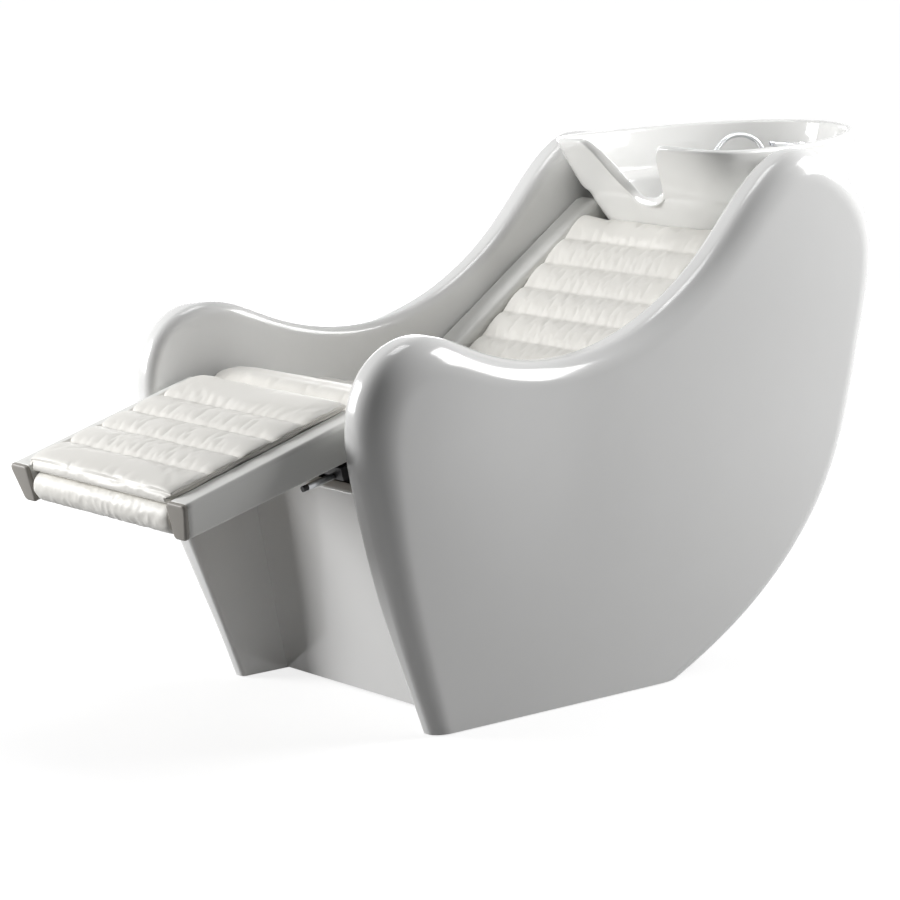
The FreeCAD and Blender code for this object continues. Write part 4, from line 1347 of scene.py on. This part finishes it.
    def sleeve(self, side: Side) -> None:
        """Build the plated sleeve round one stay, with its edges broken.

        Args:
            side: The stay's side.
        """
        root = Vector(LEG.point(side.value * self.stay_across, *self.stay_root))
        tip = Vector(LEG.point(side.value * self.stay_across, *self.stay_tip))
        length, bevel, radius = (tip - root).length, self.stay_bevel, self.stay_radius
        profile = [(0.0, radius - bevel), (bevel, radius), (length - bevel, radius), (length, radius - bevel)]
        dress(lathe(side.word() + "_stay_sleeve", profile, root, tip - root), BRIGHT_STEEL, "leg_rest")

    def edge(self) -> None:
        """Build the cover's strip over the board's rear edge."""
        ring = rounded_ring(self.board_edge, self.board_rounds, self.board_round_steps)
        rings = [[LEG.point(x, *spot) for spot in ring] for x in (-self.board_half, self.board_half)]
        dress(loft("board_edge_strip", rings, crease=50.0), VINYL_PLAIN, "leg_rest")

    def dress(self) -> None:
        """Build the rails, caps, roll, sleeves and edge strip."""
        for side in Side:
            self.rail(side)
            self.sleeve(side)
        self.caps()
        self.roll()
        self.edge()


@dataclass
class Shower:
    """The ribbed chrome hose that arches out of the deck, and the hand shower at its end.

    A profile's rows are a distance along the hand shower and a radius, in the head from the grip's end.
    """

    route: tuple[Point, ...] = (
        (-0.020000, 0.812038, 0.857022), (-0.020000, 0.812038, 0.892022), (-0.030653, 0.793586, 0.919789),
        (-0.047557, 0.764308, 0.928848), (-0.063725, 0.736304, 0.915454), (-0.072475, 0.721149, 0.885143))
    diameter: float = 0.011
    length: float = 0.1705
    rib: float = 0.0034
    rib_stand: float = 0.0007
    grip: float = 0.062
    grip_profile: tuple[Pair, ...] = (
        (0.0, 0.006), (0.0006, 0.0074), (0.010, 0.0082), (0.0105, 0.0090), (0.024, 0.0096), (0.044, 0.0106))
    head_profile: tuple[Pair, ...] = (
        (0.0, 0.0122), (0.012, 0.0156), (0.022, 0.0206), (0.028, 0.0234), (0.032, 0.0238), (0.034, 0.0226),
        (0.034, 0.0190), (0.0328, 0.0180), (0.0328, 0.0020))

    def curve(self, name: str, bevel: float) -> Thing:
        """Make the hose's line as one smooth spline that follows its route.

        Args:
            name: The curve's name.
            bevel: The tube's radius, or nought for a bare line.

        Returns:
            The curve.
        """
        data = bpy.data.curves.new(name, "CURVE")
        data.dimensions = "3D"
        spline = data.splines.new("NURBS")
        spline.points.add(len(self.route) - 1)
        for point, place in zip(spline.points, self.route):
            point.co = (*place, 1.0)
        spline.order_u = 3
        spline.use_endpoint_u = True
        spline.resolution_u = 24
        data.bevel_depth = bevel
        data.bevel_resolution = 5
        data.use_fill_caps = True
        return add_object(name, data)

    def shower(self) -> Thing:
        """Turn the hand shower: a waisted grip that flares into a round spray head.

        Returns:
            The hand shower.
        """
        foot = Vector(self.route[-1])
        head = tuple((self.grip + along, radius) for along, radius in self.head_profile)
        return lathe("spray_head", self.grip_profile + head, foot, foot - Vector(self.route[-2]))

    def dress(self) -> None:
        """Build hose, ribs and hand shower and give them their chrome."""
        hose = self.curve("hose_core", self.diameter / 2 - self.rib_stand)
        ribs = Ribs(self.rib, self.diameter / 2).build("hose_ribs", self.curve("hose_line", 0.0))
        spray = dress(self.shower(), CHROME, "unit", ["hand_shower"])
        dress(ribs, CHROME, "unit")
        dress(hose, CHROME, "unit", ["shower_hose"])


# Repeated pieces, made with geometry nodes


def repeat_tree(name: str, sizes: Sequence[str]) -> tuple[Tree, Node, Node]:
    """Start a geometry tree with named size inputs.

    Args:
        name: The tree's name.
        sizes: Names of its size inputs.

    Returns:
        The tree, its input node and its output node.
    """
    tree = bpy.data.node_groups.new(name, "GeometryNodeTree")
    tree.interface.new_socket("Geometry", in_out="INPUT", socket_type="NodeSocketGeometry")
    for size in sizes:
        tree.interface.new_socket(size, in_out="INPUT", socket_type="NodeSocketFloat")
    tree.interface.new_socket("Finish", in_out="INPUT", socket_type="NodeSocketMaterial")
    tree.interface.new_socket("Geometry", in_out="OUTPUT", socket_type="NodeSocketGeometry")
    return tree, tree.nodes.new("NodeGroupInput"), tree.nodes.new("NodeGroupOutput")


def set_along(tree: Tree, given: Node, out: Node, line: Socket, shape: Socket) -> None:
    """End a geometry tree by setting a shape at even steps along a line, as real faces with a finish.

    Args:
        tree: The geometry tree, which has a Spacing input.
        given: Its input node.
        out: Its output node.
        line: The line as a curve.
        shape: The shape, whose Z is turned to run along the line.
    """
    spots = add_node(tree, "GeometryNodeCurveToPoints", {"Curve": line, "Length": given.outputs["Spacing"]},
                     mode="LENGTH")
    placed = add_node(tree, "GeometryNodeInstanceOnPoints", {"Points": spots.outputs["Points"],
                                                             "Instance": shape,
                                                             "Rotation": spots.outputs["Rotation"]})
    real = add_node(tree, "GeometryNodeRealizeInstances", {"Geometry": placed.outputs["Instances"]})
    done = add_node(tree, "GeometryNodeSetMaterial", {"Geometry": real.outputs["Geometry"],
                                                      "Material": given.outputs["Finish"]})
    tree.links.new(done.outputs["Geometry"], out.inputs["Geometry"])


def realised(name: str, tree: Tree, carrier: Thing, values: dict[str, Any]) -> Thing:
    """Run a geometry tree on a carrier and keep the result as a plain smooth mesh.

    Args:
        name: The new piece's name.
        tree: The geometry tree.
        carrier: The object whose line or points it follows; it is removed.
        values: The tree's inputs by name.

    Returns:
        The plain mesh piece.
    """
    modifier = carrier.modifiers.new("repeat", "NODES")
    modifier.node_group = tree
    for socket in tree.interface.items_tree:
        if socket.in_out == "INPUT" and socket.name in values:
            modifier[socket.identifier] = values[socket.name]
    bpy.context.view_layer.update()
    depsgraph = bpy.context.evaluated_depsgraph_get()
    mesh = bpy.data.meshes.new_from_object(carrier.evaluated_get(depsgraph), depsgraph=depsgraph)
    carrier.modifiers.remove(modifier)
    bpy.data.objects.remove(carrier)
    mesh.name = name
    shade_smooth(mesh)
    return add_object(name, mesh)


@dataclass
class Ribs:
    """Rings that follow a hose's line."""

    spacing: float
    radius: float
    fullness: float = 0.42
    ring_sides: int = 20
    bead_sides: int = 6

    def build(self, name: str, line: Thing) -> Thing:
        """Set a rounded ring at even steps along the line.

        Args:
            name: The piece's name.
            line: The hose's line, which is used up.

        Returns:
            The rings as one mesh.
        """
        tree, given, out = repeat_tree(name, ("Spacing", "Radius", "Bead"))
        path = add_node(tree, "GeometryNodeCurvePrimitiveCircle", {"Resolution": self.ring_sides,
                                                                   "Radius": given.outputs["Radius"]})
        bead = add_node(tree, "GeometryNodeCurvePrimitiveCircle", {"Resolution": self.bead_sides,
                                                                   "Radius": given.outputs["Bead"]})
        ring = add_node(tree, "GeometryNodeCurveToMesh", {"Curve": path.outputs["Curve"],
                                                          "Profile Curve": bead.outputs["Curve"]})
        set_along(tree, given, out, given.outputs["Geometry"], ring.outputs["Mesh"])
        thick = self.spacing * self.fullness
        return realised(name, tree, line, {"Spacing": self.spacing, "Radius": self.radius - thick,
                                           "Bead": thick, "Finish": CHROME.material()})


@dataclass
class Stitches:
    """Rows of sewing stitches in the pads' valleys."""

    spacing: float = 0.0065
    length: float = 0.0042
    thread: float = 0.0009
    unit_radius: float = 0.5
    sides: int = 6
    rings: int = 4

    def build(self, name: str, lines: Sequence[Sequence[Point]]) -> Thing:
        """Lay stitches along lines.

        Args:
            name: The piece's name.
            lines: Rows of points, one for each seam.

        Returns:
            The stitches as one mesh.
        """
        points, edges = [], []
        for line in lines:
            edges += [(len(points) + i, len(points) + i + 1) for i in range(len(line) - 1)]
            points += line
        mesh = bpy.data.meshes.new(name + "_line")
        mesh.from_pydata(points, edges, [])
        carrier = add_object(name + "_line", mesh)
        tree, given, out = repeat_tree(name, ("Spacing", "Length", "Thread"))
        curve = add_node(tree, "GeometryNodeMeshToCurve", {"Mesh": given.outputs["Geometry"]})
        bead = add_node(tree, "GeometryNodeMeshUVSphere", {"Segments": self.sides, "Rings": self.rings,
                                                           "Radius": self.unit_radius})
        size = add_node(tree, "ShaderNodeCombineXYZ", {"X": given.outputs["Thread"],
                                                       "Y": given.outputs["Thread"],
                                                       "Z": given.outputs["Length"]})
        shaped = add_node(tree, "GeometryNodeTransform", {"Geometry": bead.outputs["Mesh"],
                                                          "Scale": size.outputs["Vector"]})
        set_along(tree, given, out, curve.outputs["Curve"], shaped.outputs["Geometry"])
        return realised(name, tree, carrier, {"Spacing": self.spacing, "Length": self.length,
                                              "Thread": self.thread, "Finish": VINYL_CHANNELLED.material()})


# Studio


@dataclass(frozen=True)
class Lamp:
    """A soft box that faces a point."""

    name: str
    place: Point
    aim: Point
    width: float
    depth: float
    power: float

    def build(self) -> None:
        """Hang the lamp."""
        data = bpy.data.lights.new(self.name, "AREA")
        data.shape = "RECTANGLE"
        data.size, data.size_y = self.width, self.depth
        data.energy = self.power
        lamp = add_object(self.name, data)
        lamp.location = self.place
        lamp.rotation_euler = (Vector(self.aim) - Vector(self.place)).to_track_quat("-Z", "Y").to_euler()


@dataclass
class Studio:
    """Pale floor, white surroundings, soft boxes and the camera of the photograph's view."""

    reach: float = 60.0
    paper: str = "#929292"
    paper_glow: Pair = (0.80, 1.0)
    paper_fade: Pair = (0.7, 2.4)
    ambient: float = 0.03
    lens: float = 123.447
    sensor: float = 36.0
    eye: Point = (4.02659, -3.54589, 1.40536)
    pitch: float = 79.5279
    heading: float = 48.7034
    lamps: tuple[Lamp, ...] = (
        Lamp("overhead", (-0.2, 0.1, 3.2), (0.0, 0.15, 0.5), 1.0, 1.0, 16.0),
        Lamp("front_left", (-2.40, -2.7, 1.6), (0.0, -0.1, 0.5), 1.6, 1.6, 134.0),
        Lamp("rear_right", (1.5, 2.5, 1.9), (0.2, 0.2, 0.5), 1.4, 1.6, 90.0),
        Lamp("rear_left", (-2.45, 1.8, 0.9), (0.0, 0.2, 0.5), 1.4, 1.4, 15.0),
    )

    def seen(self, tree: Tree) -> Socket:
        """Add the test of whether the background is looked at, straight, in a reflection or through glass.

        Args:
            tree: The node tree that needs it.

        Returns:
            One where it is looked at, and nought where it only lights.
        """
        path = add_node(tree, "ShaderNodeLightPath")
        first = add_node(tree, "ShaderNodeMath", {0: path.outputs["Is Camera Ray"],
                                                  1: path.outputs["Is Glossy Ray"]}, operation="MAXIMUM")
        both = add_node(tree, "ShaderNodeMath", {0: first.outputs[0], 1: path.outputs["Is Transmission Ray"]},
                        operation="MAXIMUM")
        return both.outputs[0]

    def floor(self) -> None:
        """Lay a pale floor that is white to the eye and darker where the unit shades it."""
        made = bpy.data.materials.new("studio_paper")
        made.use_nodes = True
        tree = made.node_tree
        tree.nodes.clear()
        matt = add_node(tree, "ShaderNodeBsdfDiffuse", {"Color": linear(self.paper)})
        place = add_node(tree, "ShaderNodeTexCoord")
        ball = add_node(tree, "ShaderNodeVectorMath", {0: place.outputs["Object"]}, operation="LENGTH")
        (near, far), (dim, full) = self.paper_fade, self.paper_glow
        level = add_node(tree, "ShaderNodeMapRange", {"Value": ball.outputs["Value"], "From Min": near,
                                                      "From Max": far, "To Min": dim, "To Max": full},
                         interpolation_type="SMOOTHSTEP")
        glow = add_node(tree, "ShaderNodeMath", {0: level.outputs["Result"], 1: self.seen(tree)},
                        operation="MULTIPLY")
        white = add_node(tree, "ShaderNodeEmission", {"Color": WHITE, "Strength": glow.outputs[0]})
        both = add_node(tree, "ShaderNodeAddShader", {0: matt.outputs["BSDF"], 1: white.outputs["Emission"]})
        add_node(tree, "ShaderNodeOutputMaterial", {"Surface": both.outputs["Shader"]})
        mesh = bpy.data.meshes.new("studio_floor")
        corners = [(x * self.reach, y * self.reach, 0.0) for x, y in ((-1, -1), (1, -1), (1, 1), (-1, 1))]
        mesh.from_pydata(corners, [], [(0, 1, 2, 3)])
        mesh.materials.append(made)
        floor = add_object("studio_floor", mesh)

    def world(self) -> None:
        """Make the surroundings white where they are seen and dim where they only light."""
        scene = bpy.context.scene
        scene.world = scene.world or bpy.data.worlds.new("studio")
        scene.world.use_nodes = True
        tree = scene.world.node_tree
        tree.nodes.clear()
        level = add_node(tree, "ShaderNodeMapRange", {"Value": self.seen(tree), "To Min": self.ambient,
                                                      "To Max": 1.0})
        glow = add_node(tree, "ShaderNodeBackground", {"Color": WHITE, "Strength": level.outputs["Result"]})
        add_node(tree, "ShaderNodeOutputWorld", {"Surface": glow.outputs["Background"]})

    def camera(self) -> None:
        """Set the camera at the photograph's viewing angle."""
        data = bpy.data.cameras.new("view")
        data.lens = self.lens
        data.sensor_width = self.sensor
        camera = add_object("view", data)
        camera.location = self.eye
        camera.rotation_euler = (math.radians(self.pitch), 0.0, math.radians(self.heading))
        bpy.context.scene.camera = camera

    def build(self) -> None:
        """Set up floor, surroundings, lamps, camera and the plain view."""
        self.floor()
        self.world()
        for lamp in self.lamps:
            lamp.build()
        self.camera()
        bpy.context.scene.view_settings.view_transform = "Standard"


def dress_solids() -> None:
    """Give every solid that stays in view the finish of its record slot."""
    slots = {row["node"]: row["material_slot"] for row in frame["record"]["subparts"]}
    for name, node in frame["nodes"].items():
        finish = FINISHES[slots[name]]
        if not node.data.materials:
            node.data.materials.append(None)
        for index in range(len(node.data.materials)):
            node.data.materials[index] = finish.material()


def main() -> None:
    """Build and dress the unit, piece by piece."""
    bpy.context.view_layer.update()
    Studio().build()
    dress_solids()
    Shower().dress()
    for side in Side:
        SideShell(side).dress()
    FrontPanel().dress()
    Basin().dress()
    back_roll = (BACK_LENGTH - BACK_START) / BACK_ROLLS
    pads = [
        ChannelPad("seat_pad", "seat_cushion", "unit", SEAT, even(0.100, 0.453, 6), half=0.212,
                   valley=SEAT_VALLEY, bulge=0.009, low=-0.034, nose=0.034),
        ChannelPad("back_pad", "back_cushion", "unit", BACK,
                   (BACK_FOOT,) + even(BACK_START + back_roll, BACK_LENGTH, BACK_ROLLS), half=0.184,
                   valley=0.0, bulge=0.007, low=-0.058, crest=0.62, slack=0.012),
        ChannelPad("leg_pad", "leg_cushion", "leg_rest", LEG,
                   (-0.424, -0.339, -0.272, -0.205, -0.138, -0.044), half=0.200, valley=0.044, bulge=0.0085,
                   low=-0.004, draw=0.003, edge_crown=0.8, end_round=0.009, lap=(-0.370, 0.0265),
                   shelf=(0.1912, 0.0378), scallop=0.012, slack=0.010),
    ]
    for pad in pads:
        pad.dress()
    for side in Side:
        word = side.word()
        StripPad(word + "_seat_strip", word + "_seat_bolster", side, SEAT, inside=0.2123, outside=0.2447,
                 start=0.104, end=0.447, low=-0.046, top_start=0.020, top_end=0.020).dress()
        StripPad(word + "_back_strip", word + "_back_bolster", side, BACK, inside=0.1843, outside=0.2447,
                 start=BACK_FOOT, end=0.538, low=-0.058, top_start=0.029, top_end=-0.007).dress()
    LegRest().dress()


if __name__ == "__main__":
    main()
